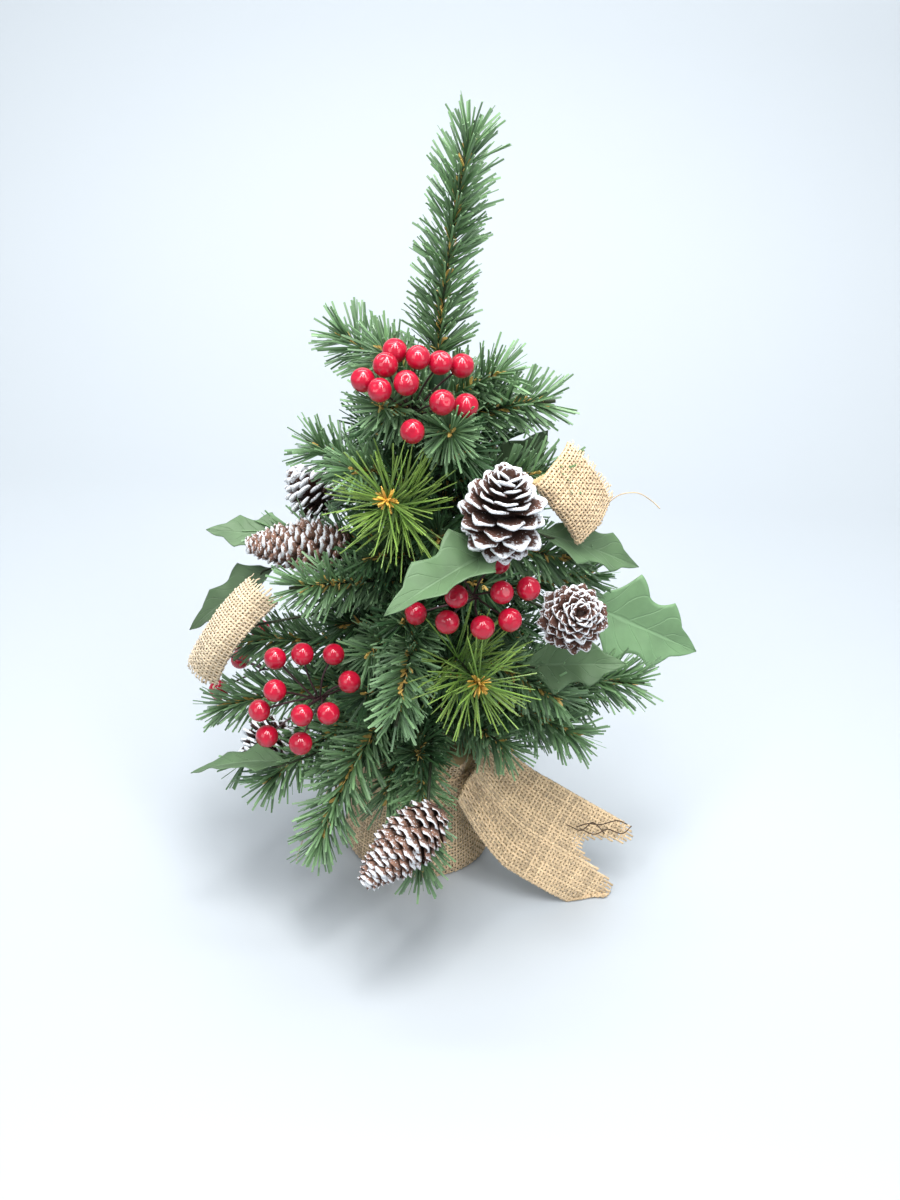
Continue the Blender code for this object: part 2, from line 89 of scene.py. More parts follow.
# A tip bound to the trunk: root height, azimuth from the front toward +X, rise and droop in degrees, length
Sprig = namedtuple("Sprig", "height azimuth rise droop length")
SHOWN_SPRIGS = (
    Sprig(298 * MM, 73, 34, 5, 36 * MM),
    Sprig(288 * MM, -28, 24, 6, 58 * MM),
    Sprig(282 * MM, 9, 20, 6, 58 * MM),
    Sprig(300 * MM, -60, 48, 8, 40 * MM),
    Sprig(250 * MM, 62, 20, 8, 74 * MM),
    Sprig(252 * MM, -40, 22, 6, 62 * MM),
    Sprig(214 * MM, 66, 8, 6, 84 * MM),
    Sprig(206 * MM, -92, 8, 8, 84 * MM),
    Sprig(164 * MM, -32, 4, 12, 54 * MM),
    Sprig(150 * MM, 52, 2, 10, 92 * MM),
    Sprig(122 * MM, -80, -4, 8, 118 * MM),
    Sprig(112 * MM, -54, -4, 24, 108 * MM),
    Sprig(116 * MM, -66, -10, 14, 116 * MM),
    Sprig(112 * MM, -44, -8, 22, 76 * MM),
    Sprig(106 * MM, -16, -14, 30, 70 * MM),
    Sprig(106 * MM, 46, 4, 12, 66 * MM),
    Sprig(100 * MM, 84, 2, 10, 72 * MM),
    Sprig(128 * MM, 88, 6, 8, 96 * MM),
    Sprig(122 * MM, 62, 2, 14, 98 * MM),
    Sprig(136 * MM, 72, 2, 12, 92 * MM),
)

# A spray of berries: the hub where the stalks meet and each berry's offset from it, in mm, as on the frame
Spray = namedtuple("Spray", "node hub berries")
SPRAYS = (
    Spray(
        "berries_upper",
        (-13, -40, 305),
        ((-8, -9, 32), (-12, -17, 27), (-23, -18, 19), (-14, -27, 17), (-1, -26, 21), (4, -15, 31))
        + ((15, -12, 28), (26, -5, 25), (17, -26, 12), (29, -17, 8), (3, -34, -1)),
    ),
    Spray(
        "berries_centre",
        (29, -66, 209),
        ((-34, -5, -8), (-13, -28, 15), (-17, -30, 1), (1, -34, 1), (15, -30, 4), (10, -27, 18))
        + ((24, -19, 17), (8, -10, 27), (-11, -10, 25)),
    ),
    Spray(
        "berries_lower_left",
        (-62, -58, 135),
        ((-20, -6, 30), (-18, -22, 19), (-5, -5, 33), (12, -2, 32), (22, -14, 22), (12, -30, 11))
        + ((-2, -33, 11), (-27, -21, 5), (-23, -22, -11), (-3, -32, -8)),
    ),
    Spray(
        "berries_back_left",
        (-104, 12, 112),
        ((-24, -10, -10), (-25, 8, 6), (-14, -4, 22), (-16, 22, -6), (-2, 20, 18)),
    ),
)

OPEN_CONES = ("cone_upper", "cone_right", "cone_back_left", "cone_lower_left")
LONG_CONES = ("cone_left", "cone_front")
LEAVES = tuple(name for name in sorted(frame["nodes"]) if name.startswith("leaf_"))
LOOPS = ("ribbon_left", "ribbon_right")
# How a leaf departs from flat: fold along the midrib, sag of the tip, twist in degrees
LEAF_SHAPES = {
    "leaf_centre": (0.55, 0.10, 8),
    "leaf_left_lower": (0.25, 0.22, 25),
    "leaf_left_middle": (0.20, 0.20, -12),
    "leaf_right_upper": (0.35, 0.22, 14),
}
PLAIN_LEAF_SHAPE = (0.18, 0.08, 5)
# Short sprigs bound to the trunk at the golden angle
INNER_SPRIGS = 34
# Sides of the ring that the pot's inner layer of cloth, darker than the yarns as painted shade, is turned
# with
LINING_SIDES = 64
# The floor's reflectance, as a share of the backdrop colour
FLOOR_SHARE = 0.47
# Of each ribbon loop: bend in degrees, hollow across, share of its CAD width, length folded back
LOOP_SHAPES = {"ribbon_left": (60, 7 * MM, 0.80, 0.0), "ribbon_right": (32, 3 * MM, 1.0, 26 * MM)}
# A place above the crown, which the upper ends of the ribbon loops are nearest to
ABOVE_CROWN = (0, 0, 0.6)
# The bitten end of the tail: millimetres cut away, at shares of its width from the upper edge
TAIL_END_MARKS = (0, 0.10, 0.20, 0.27, 0.36, 0.46, 0.54, 0.60, 1.0)
TAIL_END_CUTS = (18, 12, 16, 30, 39, 38, 26, 8, 1)
# Length of a blade that is tucked in behind its neighbours, inward of its flat stand-in
LEAF_ROOTS = {"leaf_right_large": 13 * MM, "leaf_upper_right": 6 * MM}
# Painted light and shade: which brightness copy of the one leaf green each leaf wears, 0 the lit one, 1 the
# half-lit one, 2 the shaded one; any other leaf takes the shaded one
LEAF_LIGHT_COPIES = {"leaf_right_large": 0, "leaf_centre": 1, "leaf_left_upper": 1, "leaf_left_lower": 1,
              "leaf_right_upper": 1, "leaf_right_lower": 1}


def linear(hex_colour):
    """A #rrggbb sRGB colour as linear red, green, blue."""
    channels = [int(hex_colour[i : i + 2], 16) / 255 for i in (1, 3, 5)]
    return tuple(c / 12.92 if c <= 0.04045 else ((c + 0.055) / 1.055) ** 2.4 for c in channels)


def measure(name, description, metres):
    """A length that the panel shows in the scene's units."""
    return FloatProperty(name=name, description=description, default=metres, unit="LENGTH")


def tint(name, description, hex_colour):
    """A colour for the panel."""
    return FloatVectorProperty(
        name=name, description=description, subtype="COLOR", default=linear(hex_colour)
    )


class NeedleSettings(PropertyGroup):
    length: measure("Needle length", "Longest needle", 25 * MM)
    width: measure("Needle width", "Width of the cut film", 1.25 * MM)
    density: FloatProperty(name="Needles per metre", description="Needles on a metre of wire", default=4300)
    lean: FloatProperty(name="Lean", description="Angle from the wire", default=radians(52), subtype="ANGLE")
    dark: tint("Dark film", "Shaded film", "#17341d")
    light: tint("Light film", "Brightest film", "#638b54")
    pine_length: measure("Pine needle length", "Longest pine needle", 38 * MM)
    pine_density: FloatProperty(name="Pine needles per metre", description="On a metre of wire", default=3300)


class ConeSettings(PropertyGroup):
    open_scales: IntProperty(name="Open cone scales", description="Scales on an open cone", default=68)
    long_scales: IntProperty(name="Long cone scales", description="Scales on a long cone", default=135)
    brown: tint("Scale brown", "Dry scale", "#4a2d22")
    frost: tint("Frost", "White paint on the edges", "#dfe2e6")


class BerrySettings(PropertyGroup):
    radius: measure("Berry radius", "Lacquered berry", 6.5 * MM)
    stalk: measure("Stalk radius", "Bound wire stalk", 0.6 * MM)
    red: tint("Red", "Lacquer", "#a9082a")


class LeafSettings(PropertyGroup):
    thickness: measure("Cloth", "Leaf cloth thickness", 0.4 * MM)
    green: tint("Leaf green", "Printed polyester", "#71966a")


class BurlapSettings(PropertyGroup):
    pitch: measure("Thread pitch", "Thread spacing", 2.2 * MM)
    cover: FloatProperty(
        name="Thread cover", description="Thread width as a share of the pitch", default=0.66
    )
    jute: tint("Jute", "Natural jute", "#d0b58f")


class StageSettings(PropertyGroup):
    backdrop: tint("Backdrop", "Seamless paper", "#eef5fb")
    lens: FloatProperty(name="Lens", description="Focal length, mm", default=36.0)


# ---------------------------------------------------------------- nodes and meshes


def add_node(tree, kind, links=None, **settings):
    """Adds a node, sets its properties, and joins or fills the inputs given by name or number."""
    made = tree.nodes.new(kind)
    for name, value in settings.items():
        setattr(made, name, value)
    for socket, value in (links or {}).items():
        if isinstance(value, bpy.types.NodeSocket):
            tree.links.new(value, made.inputs[socket])
        else:
            made.inputs[socket].default_value = value
    return made


def new_material(name):
    """An empty node material: its tree and its Principled shader."""
    made = bpy.data.materials.new(name)
    made.use_nodes = True
    return made, made.node_tree, made.node_tree.nodes["Principled BSDF"]


def ramp(tree, factor, stops):
    """A colour ramp of (place, linear colour) stops; its colour output."""
    made = add_node(tree, "ShaderNodeValToRGB", {"Fac": factor})
    elements = made.color_ramp.elements
    while len(elements) < len(stops):
        elements.new(1.0)
    for element, (place, colour) in zip(elements, stops):
        element.position = place
        element.color = (*colour, 1)
    return made.outputs["Color"]


def map_range(tree, value, given=(0.0, 1.0), to=(0.0, 1.0)):
    """A value taken from one range to another, held inside it."""
    links = {"Value": value, "From Min": given[0], "From Max": given[1], "To Min": to[0], "To Max": to[1]}
    return add_node(tree, "ShaderNodeMapRange", links).outputs["Result"]


def mix(tree, factor, first, second, **settings):
    """Two colours mixed by a factor."""
    links = {"Factor": factor, "A": first, "B": second}
    return add_node(tree, "ShaderNodeMix", links, data_type="RGBA", **settings).outputs["Result"]


def attribute(tree, name, output="Fac"):
    return add_node(tree, "ShaderNodeAttribute", attribute_name=name).outputs[output]


def noise(tree, scale, detail=2.0, vector=None):
    links = {"Scale": scale, "Detail": detail}
    if vector is None:
        vector = add_node(tree, "ShaderNodeTexCoord").outputs["Object"]
    links["Vector"] = vector
    return add_node(tree, "ShaderNodeTexNoise", links).outputs["Fac"]


def bump(tree, height, distance, strength=1.0):
    made = add_node(tree, "ShaderNodeBump", {"Height": height, "Distance": distance, "Strength": strength})
    return made.outputs["Normal"]


def math(tree, operation, first, second=0.0, third=0.0):
    made = add_node(tree, "ShaderNodeMath", {0: first, 1: second, 2: third}, operation=operation)
    return made.outputs[0]


def new_object(name, mesh, material=None):
    made = bpy.data.objects.new(name, mesh)
    if material is not None:
        mesh.materials.append(material)
    bpy.context.scene.collection.objects.link(made)
    return made


def closed_shape(name, shape, smooth=True):
    """The mesh of a bmesh, which is freed."""
    mesh = bpy.data.meshes.new(name)
    shape.to_mesh(mesh)
    shape.free()
    if smooth:
        mesh.shade_smooth()
    return mesh


def new_mesh(name, points, faces):
    mesh = bpy.data.meshes.new(name)
    mesh.from_pydata([tuple(p) for p in points], [], [tuple(int(i) for i in f) for f in faces])
    return mesh


def apply_modifiers(obj):
    """Turns the evaluated object into its plain mesh."""
    graph = bpy.context.evaluated_depsgraph_get()
    mesh = bpy.data.meshes.new_from_object(obj.evaluated_get(graph))
    obj.modifiers.clear()
    obj.data = mesh
    return obj


def set_input(modifier, name, value):
    """Sets a Geometry Nodes input by its shown name, through its identifier."""
    sockets = modifier.node_group.interface.items_tree
    item = next(i for i in sockets if i.name == name and i.in_out == "INPUT")
    modifier[item.identifier] = value


def mount(obj, body, slot, *nodes):
    """Makes a finished piece ride on its body and stand for CAD nodes."""
    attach(obj, body)
    if nodes:
        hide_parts(*nodes)


def body_of(node):
    groups = frame["record"]["behaviour"]["bodies"]
    return next(body for body, members in groups.items() if node in members)


# ---------------------------------------------------------------- places read from the frame


def corners_of(node):
    """Unique vertices of a CAD node, as an array."""
    mesh = frame["nodes"][node].data
    points = np.array([v.co for v in mesh.vertices])
    return np.unique(np.round(points, 5), axis=0)


def hinge_of(body):
    return next(joint for joint in frame["joints"] if joint["child"] == body)


def wire_path(branch):
    """Centres of the rings of a branch's CAD wire, from its hinge outward."""
    root = np.array(hinge_of(branch)["pos_m"])
    points = corners_of(branch + "_wire")
    reach = np.linalg.norm(points - root, axis=1)
    order = np.argsort(reach)
    breaks = np.flatnonzero(np.diff(reach[order]) > 3 * MM) + 1
    return [Vector(ring.mean(axis=0)) for ring in np.split(points[order], breaks)]


def sheet_frame(node, near):
    """Frame, length and width of a flat CAD node: origin at its end nearest a point, X along, Z the face."""
    points = corners_of(node)
    points = points[np.hypot(points[:, 0], points[:, 1]) > 12 * MM]
    middle = points.mean(axis=0)
    axes = np.linalg.svd(points - middle, full_matrices=False)[2]
    local = (points - middle) @ axes.T
    low, high = local.min(axis=0), local.max(axis=0)
    middle = middle + ((low + high) / 2) @ axes
    length, width = (high - low)[:2]
    along, face = Vector(axes[0]), Vector(axes[2])
    if (Vector(middle) - Vector(near)).dot(along) < 0:
        along.negate()
    if face.dot(Vector((0, -1, 1))) < 0:
        face.negate()
    across = face.cross(along)
    origin = Vector(middle) - along * length / 2
    matrix = Matrix((along, across, face)).transposed().to_4x4()
    return Matrix.Translation(origin) @ matrix, length, width


# Base, axis, length and radius of each cone, as part.py has them
CONES = {
    "cone_left": ((-44, -12, 211), (-1, -0.05, 0), 60, 12.5),
    "cone_back_left": ((-62, 22, 219), (-0.70, 0.45, 0.55), 32, 18),
    "cone_upper": ((36, -82, 250), (0.05, -0.25, 0.97), 44, 24),
    "cone_right": ((76, -66, 198), (0.15, -0.80, 0.58), 34, 19),
    "cone_lower_left": ((-84, -32, 98), (-0.60, -0.70, -0.40), 30, 17),
    "cone_front": ((14, -111, 104), (-0.68, -0.52, -0.52), 56, 13),
}


def cone_frame(node):
    """Base, axis, length and radius of a cone in metres."""
    base, axis, length, radius = CONES[node]
    return Vector(base) * MM, Vector(axis).normalized(), length * MM, radius * MM


def arc_path(root, azimuth, rise, droop, length, steps=6):
    """Points of a tip that leaves its root at a rise and droops evenly along its length."""
    outward = Vector((sin(radians(azimuth)), -cos(radians(azimuth)), 0))
    points = [Vector(root)]
    for step in range(steps):
        slope = radians(rise - droop * (step + 0.5) / steps)
        points.append(points[-1] + (outward * cos(slope) + Vector((0, 0, sin(slope)))) * length / steps)
    return points


# ---------------------------------------------------------------- materials


def needle_film(name, dark, light, tip):
    """Cut PVC film: thin satin strips, each a slightly different green, paler toward the cut end."""
    made, tree, shader = new_material(name)
    shade = attribute(tree, "shade")
    reach = attribute(tree, "reach")
    body = ramp(
        tree,
        shade,
        [(0.0, dark), (0.55, tuple(d * 0.55 + b * 0.45 for d, b in zip(dark, light))), (1.0, light)]
    )
    paler = math(tree, "MULTIPLY", reach, 0.45)
    tree.links.new(mix(tree, paler, body, (*tip, 1)), shader.inputs["Base Color"])
    tree.links.new(map_range(tree, noise(tree, 900), to=(0.34, 0.6)), shader.inputs["Roughness"])
    tree.links.new(bump(tree, noise(tree, 2200, 1.0), 0.00008), shader.inputs["Normal"])
    return made


def frosted_scale(name, brown, frost, bare):
    """Dry cone scale: matt brown with worn, speckled white paint from a share of its length outward."""
    made, tree, shader = new_material(name)
    reach = attribute(tree, "reach")
    shade = attribute(tree, "shade")
    # The wood is darkest at the scale's root, deep in the cone, and lightest at its lip: partly the wood's
    # own colour, partly painted shade between the scales.
    dark = tuple(c * 0.22 for c in brown)
    wood_and_root_shade = ramp(tree, reach, [(0.0, dark), (0.55, brown), (1.0, tuple(c * 1.5 for c in brown))])
    streaks = noise(tree, 700, 3.0)
    grain = map_range(tree, streaks, (0.3, 0.7), (0.65, 1.2))
    wood_and_root_shade = mix(tree, 1.0, wood_and_root_shade, grain, blend_type="MULTIPLY")
    ragged = math(tree, "MULTIPLY_ADD", noise(tree, 420, 4.0), 0.55, math(tree, "MULTIPLY", shade, 0.22))
    edge = math(tree, "ADD", math(tree, "SUBTRACT", reach, 1.0), ragged)
    painted = map_range(tree, edge, (bare - 0.66, bare - 0.56))
    flicks = math(tree, "ADD", noise(tree, 950, 2.0), math(tree, "MULTIPLY", reach, 0.16))
    dotted = map_range(tree, flicks, (0.76, 0.80))
    worn = map_range(tree, noise(tree, 1300, 2.0), (0.30, 0.42))
    cover = math(tree, "MAXIMUM", dotted, math(tree, "MULTIPLY", painted, worn))
    tree.links.new(mix(tree, cover, wood_and_root_shade, (*frost, 1)), shader.inputs["Base Color"])
    shader.inputs["Roughness"].default_value = 0.78
    tree.links.new(bump(tree, noise(tree, 1500, 3.0), 0.0003), shader.inputs["Normal"])
    return made


def red_lacquer(settings):
    """Dipped foam berry: deep red under a thick clear lacquer, so the highlights are small and sharp."""
    made, tree, shader = new_material("Red berry lacquer")
    red = tuple(settings.red)
    tone = ramp(
        tree,
        noise(tree, 160),
        [(0.3, tuple(c * 0.78 for c in red)), (0.7, tuple(min(1, c * 1.12) for c in red))]
    )
    tree.links.new(tone, shader.inputs["Base Color"])
    shader.inputs["Roughness"].default_value = 0.6
    shader.inputs["Specular IOR Level"].default_value = 0.10
    shader.inputs["Coat Weight"].default_value = 1.0
    shader.inputs["Coat Roughness"].default_value = 0.03
    tree.links.new(bump(tree, noise(tree, 220, 1.0), 0.00006), shader.inputs["Coat Normal"])
    return made


def plain_material(name, hex_colour, roughness, metallic=0.0, scale=600, depth=0.0001, spread=0.25):
    """A moulded, cast, drawn or taped finish: one colour with fine mottling and matching bump."""
    made, tree, shader = new_material(name)
    base = linear(hex_colour)
    grain = noise(tree, scale, 3.0)
    tone = ramp(
        tree,
        grain,
        [(0.3, tuple(c * (1 - spread) for c in base)), (0.7, tuple(min(1, c * (1 + spread)) for c in base))]
    )
    tree.links.new(tone, shader.inputs["Base Color"])
    shader.inputs["Roughness"].default_value = roughness
    shader.inputs["Metallic"].default_value = metallic
    tree.links.new(bump(tree, grain, depth), shader.inputs["Normal"])
    return made


def leaf_cloth(name, green):
    """Printed polyester: fine weave, pressed veins that show paler, mottled dye, soft sheen."""
    made, tree, shader = new_material(name)
    uv = add_node(tree, "ShaderNodeSeparateXYZ", {"Vector": attribute(tree, "blade", "Vector")})
    along, across = uv.outputs["X"], uv.outputs["Y"]
    off = math(tree, "ABSOLUTE", across)
    rib = map_range(tree, off, (0.02, 0.07), (1.0, 0.0))
    slant = math(tree, "SUBTRACT", math(tree, "MULTIPLY", along, 6.5), math(tree, "MULTIPLY", off, 1.5))
    wave = math(
        tree, "ABSOLUTE", math(tree, "SUBTRACT", math(tree, "FRACT", math(tree, "ADD", slant, 8.0)), 0.5)
    )
    side = map_range(tree, wave, (0.0, 0.06), (0.7, 0.0))
    veins = math(tree, "MAXIMUM", rib, side)
    dye = noise(tree, 55, 4.0)
    body = ramp(
        tree, dye, [(0.25, tuple(c * 0.74 for c in green)), (0.75, tuple(min(1, c * 1.16) for c in green))]
    )
    pale = tuple(min(1, c * 1.3 + 0.04) for c in green)
    colour = mix(tree, math(tree, "MULTIPLY", veins, 0.42), body, (*pale, 1))
    tree.links.new(colour, shader.inputs["Base Color"])
    shader.inputs["Roughness"].default_value = 0.58
    shader.inputs["Sheen Weight"].default_value = 0.06
    weave = noise(tree, 2600, 1.0)
    height = math(tree, "MULTIPLY_ADD", weave, 0.25, math(tree, "MULTIPLY", veins, -1.0))
    tree.links.new(bump(tree, height, 0.0004, 0.8), shader.inputs["Normal"])
    return made


def jute_thread(name, jute, spread=0.22):
    """Jute yarn: loosely spun matt bast fibre, so it is streaky along the thread and twisted across it."""
    made, tree, shader = new_material(name)
    uv = add_node(tree, "ShaderNodeUVMap", uv_map="Yarn").outputs["UV"]
    part = add_node(tree, "ShaderNodeSeparateXYZ", {"Vector": uv})
    patches = noise(tree, 90, 3.0)
    stretched = add_node(tree, "ShaderNodeMapping", {"Vector": uv, "Scale": (500.0, 9.0, 1.0)})
    fibres = noise(tree, 1.0, 3.0, stretched.outputs["Vector"])
    tone = math(tree, "MULTIPLY_ADD", fibres, 0.6, math(tree, "MULTIPLY", patches, 0.4))
    tone = math(tree, "ADD", tone, math(tree, "MULTIPLY_ADD", attribute(tree, "shade"), 0.24, -0.12))
    low = tuple(c * (1 - 2 * spread) for c in jute)
    high = tuple(min(1, c * (1 + 1.4 * spread)) for c in jute)
    tree.links.new(ramp(tree, tone, [(0.3, low), (0.5, jute), (0.72, high)]), shader.inputs["Base Color"])
    shader.inputs["Roughness"].default_value = 0.95
    shader.inputs["Sheen Weight"].default_value = 0.35
    twist = math(
        tree, "MULTIPLY_ADD", part.outputs["X"], 5200.0, math(tree, "MULTIPLY", part.outputs["Y"], 6.2832)
    )
    ridge = math(tree, "SINE", twist)
    height = math(tree, "MULTIPLY_ADD", ridge, 0.35, fibres)
    tree.links.new(bump(tree, height, 0.00018), shader.inputs["Normal"])
    return made


# ---------------------------------------------------------------- geometry node trees


def random_float(tree, low, high, seed, offset):
    made = add_node(
        tree, "FunctionNodeRandomValue", {2: low, 3: high, 8: math(tree, "ADD", seed, float(offset))}
    )
    return made.outputs[1]


def new_tree(name, sockets):
    """A geometry node tree with a Geometry input and output and inputs (name, socket type, default)."""
    tree = bpy.data.node_groups.new(name, "GeometryNodeTree")
    tree.interface.new_socket("Geometry", in_out="INPUT", socket_type="NodeSocketGeometry")
    tree.interface.new_socket("Geometry", in_out="OUTPUT", socket_type="NodeSocketGeometry")
    for label, kind, default in sockets:
        socket = tree.interface.new_socket(label, in_out="INPUT", socket_type=kind)
        if default is not None:
            socket.default_value = default
    return tree, add_node(tree, "NodeGroupInput"), add_node(tree, "NodeGroupOutput")


def turn(tree, rotation, axis, angle):
    """A rotation turned in its own frame about an axis."""
    by = add_node(tree, "FunctionNodeAxisAngleToRotation", {"Axis": axis, "Angle": angle})
    links = {"Rotation": rotation, "Rotate By": by.outputs["Rotation"]}
    return add_node(tree, "FunctionNodeRotateRotation", links, rotation_space="LOCAL").outputs["Rotation"]


def set_out(tree, of, result, points, blank, rotation, size, shade):
    """Ends a tree: a blank object on every point with its own shade, made real, in the tree's material."""
    shape = add_node(tree, "GeometryNodeObjectInfo", {"Object": blank}).outputs["Geometry"]
    links = {"Points": points, "Instance": shape, "Rotation": rotation, "Scale": size}
    placed = add_node(tree, "GeometryNodeInstanceOnPoints", links).outputs["Instances"]
    links = {"Geometry": placed, "Name": "shade", "Value": shade}
    shaded = add_node(
        tree, "GeometryNodeStoreNamedAttribute", links, data_type="FLOAT", domain="INSTANCE"
    ).outputs["Geometry"]
    real = add_node(tree, "GeometryNodeRealizeInstances", {"Geometry": shaded}).outputs["Geometry"]
    done = add_node(tree, "GeometryNodeSetMaterial", {"Geometry": real, "Material": of["Material"]})
    tree.links.new(done.outputs["Geometry"], result.inputs["Geometry"])


def needle_tree():
    """Needles round every wire of the mesh: denser than one per spacing can't be told apart from film strips.

    A needle that would pass through a cone, berry, leaf, ribbon or the floor is left out.
    """
    tree, given, result = new_tree(
        "Needles on a wire",
        [
            ("Spacing", "NodeSocketFloat", 0.2 * MM),
            ("Lean", "NodeSocketFloat", radians(52)),
            ("Tip Lean", "NodeSocketFloat", radians(34)),
            ("Spread", "NodeSocketFloat", radians(13)),
            ("Twist", "NodeSocketFloat", 2 * pi / (21 * MM)),
            ("Looseness", "NodeSocketFloat", 1.15),
            ("Length", "NodeSocketFloat", 25 * MM),
            ("Tip Share", "NodeSocketFloat", 0.92),
            ("Fade From", "NodeSocketFloat", 0.78),
            ("Seed", "NodeSocketInt", 0),
            ("Needle", "NodeSocketObject", None),
            ("Keep Clear", "NodeSocketObject", None),
            ("Material", "NodeSocketMaterial", None),
        ],
    )
    of = given.outputs
    wires = add_node(tree, "GeometryNodeMeshToCurve", {"Mesh": of["Geometry"]})
    smooth = add_node(
        tree, "GeometryNodeCurveSplineType", {"Curve": wires.outputs["Curve"]}, spline_type="CATMULL_ROM"
    )
    spaced = add_node(
        tree,
        "GeometryNodeResampleCurve",
        {"Curve": smooth.outputs["Curve"], "Length": of["Spacing"]},
        mode="LENGTH"
    )
    share = add_node(tree, "GeometryNodeSplineParameter").outputs["Factor"]
    marked = add_node(
        tree,
        "GeometryNodeStoreNamedAttribute",
        {"Geometry": spaced.outputs["Curve"], "Name": "along", "Value": share},
        data_type="FLOAT",
        domain="POINT",
    )
    points = add_node(
        tree, "GeometryNodeCurveToPoints", {"Curve": marked.outputs["Geometry"]}, mode="EVALUATED"
    )
    along = add_node(
        tree, "GeometryNodeInputNamedAttribute", {"Name": "along"}, data_type="FLOAT"
    ).outputs["Attribute"]
    seed = of["Seed"]
    index = add_node(tree, "GeometryNodeInputIndex").outputs["Index"]
    turned = math(tree, "MULTIPLY", math(tree, "MULTIPLY", index, of["Spacing"]), of["Twist"])
    side = math(tree, "MULTIPLY", math(tree, "ROUND", random_float(tree, 0.0, 1.0, seed, 6)), pi)
    loose = random_float(tree, -1.0, 1.0, seed, 1)
    loose = math(tree, "MULTIPLY", loose, of["Looseness"])
    roll = math(tree, "ADD", math(tree, "ADD", turned, side), loose)
    spread = math(tree, "MULTIPLY", random_float(tree, -1.0, 1.0, seed, 2), of["Spread"])
    fade = (of["Fade From"], 1.0)
    lean = math(tree, "ADD", map_range(tree, along, fade, (of["Lean"], of["Tip Lean"])), spread)
    shorter = map_range(tree, along, fade, (1.0, of["Tip Share"]))
    varied = math(tree, "MULTIPLY", shorter, random_float(tree, 0.74, 1.06, seed, 3))
    length = math(tree, "MULTIPLY", varied, of["Length"])
    rotation = turn(tree, points.outputs["Rotation"], (0, 0, 1), roll)
    rotation = turn(tree, rotation, (0, 1, 0), lean)
    direction = add_node(tree, "FunctionNodeRotateVector", {"Vector": (0, 0, 1), "Rotation": rotation})
    rotation = turn(tree, rotation, (0, 0, 1), random_float(tree, -1.4, 1.4, seed, 4))
    obstacle = add_node(tree, "GeometryNodeObjectInfo", {"Object": of["Keep Clear"]})
    hit = add_node(
        tree,
        "GeometryNodeRaycast",
        {
            "Target Geometry": obstacle.outputs["Geometry"],
            "Ray Direction": direction.outputs["Vector"],
            "Ray Length": length,
        },
    )
    free = add_node(
        tree,
        "GeometryNodeDeleteGeometry",
        {"Geometry": points.outputs["Points"], "Selection": hit.outputs["Is Hit"]},
        domain="POINT",
    )
    size = add_node(tree, "ShaderNodeCombineXYZ", {"X": 1.0, "Y": 1.0, "Z": length}).outputs["Vector"]
    shade = random_float(tree, 0.0, 1.0, seed, 5)
    set_out(tree, of, result, free.outputs["Geometry"], of["Needle"], rotation, size, shade)
    return tree


def scale_tree():
    """Cone scales set round an axis at the golden angle, from base to apex, on an egg-shaped core."""
    tree, given, result = new_tree(
        "Scales round a cone",
        [
            ("Count", "NodeSocketInt", 80),
            ("Height", "NodeSocketFloat", 40 * MM),
            ("Core", "NodeSocketFloat", 4 * MM),
            ("Base Tilt", "NodeSocketFloat", radians(105)),
            ("Apex Tilt", "NodeSocketFloat", radians(15)),
            ("Base Size", "NodeSocketFloat", 1.0),
            ("Middle Size", "NodeSocketFloat", 1.0),
            ("Apex Size", "NodeSocketFloat", 0.5),
            ("Seed", "NodeSocketInt", 0),
            ("Scale", "NodeSocketObject", None),
            ("Material", "NodeSocketMaterial", None),
        ],
    )
    of = given.outputs
    line = add_node(tree, "GeometryNodeMeshLine", {"Count": of["Count"]})
    index = add_node(tree, "GeometryNodeInputIndex").outputs["Index"]
    share = math(tree, "DIVIDE", math(tree, "ADD", index, 0.5), of["Count"])
    angle = math(tree, "MULTIPLY", index, GOLDEN_ANGLE)
    bulge = math(
        tree, "POWER", math(tree, "SINE", math(tree, "MULTIPLY", math(tree, "POWER", share, 0.75), pi)), 0.6
    )
    reach = math(tree, "MULTIPLY", bulge, of["Core"])
    place = add_node(
        tree,
        "ShaderNodeCombineXYZ",
        {
            "X": math(tree, "MULTIPLY", math(tree, "COSINE", angle), reach),
            "Y": math(tree, "MULTIPLY", math(tree, "SINE", angle), reach),
            "Z": math(tree, "MULTIPLY", share, of["Height"]),
        },
    )
    moved = add_node(
        tree,
        "GeometryNodeSetPosition",
        {"Geometry": line.outputs["Mesh"], "Position": place.outputs["Vector"]}
    )
    tilt = map_range(tree, share, to=(of["Base Tilt"], of["Apex Tilt"]))
    uneven = math(tree, "ADD", tilt, random_float(tree, -0.09, 0.09, of["Seed"], 1))
    early = map_range(tree, share, (0.0, 0.35), (of["Base Size"], of["Middle Size"]))
    late = map_range(tree, share, (0.45, 1.0), (1.0, of["Apex Size"]))
    size = math(tree, "MULTIPLY", early, late)
    size = math(tree, "MULTIPLY", size, random_float(tree, 0.9, 1.1, of["Seed"], 2))
    around = add_node(
        tree, "FunctionNodeAxisAngleToRotation", {"Axis": (0, 0, 1), "Angle": angle}
    ).outputs["Rotation"]
    rotation = turn(tree, around, (0, 1, 0), uneven)
    shade = random_float(tree, 0.0, 1.0, of["Seed"], 3)
    set_out(tree, of, result, moved.outputs["Geometry"], of["Scale"], rotation, size, shade)
    return tree


# ---------------------------------------------------------------- needles


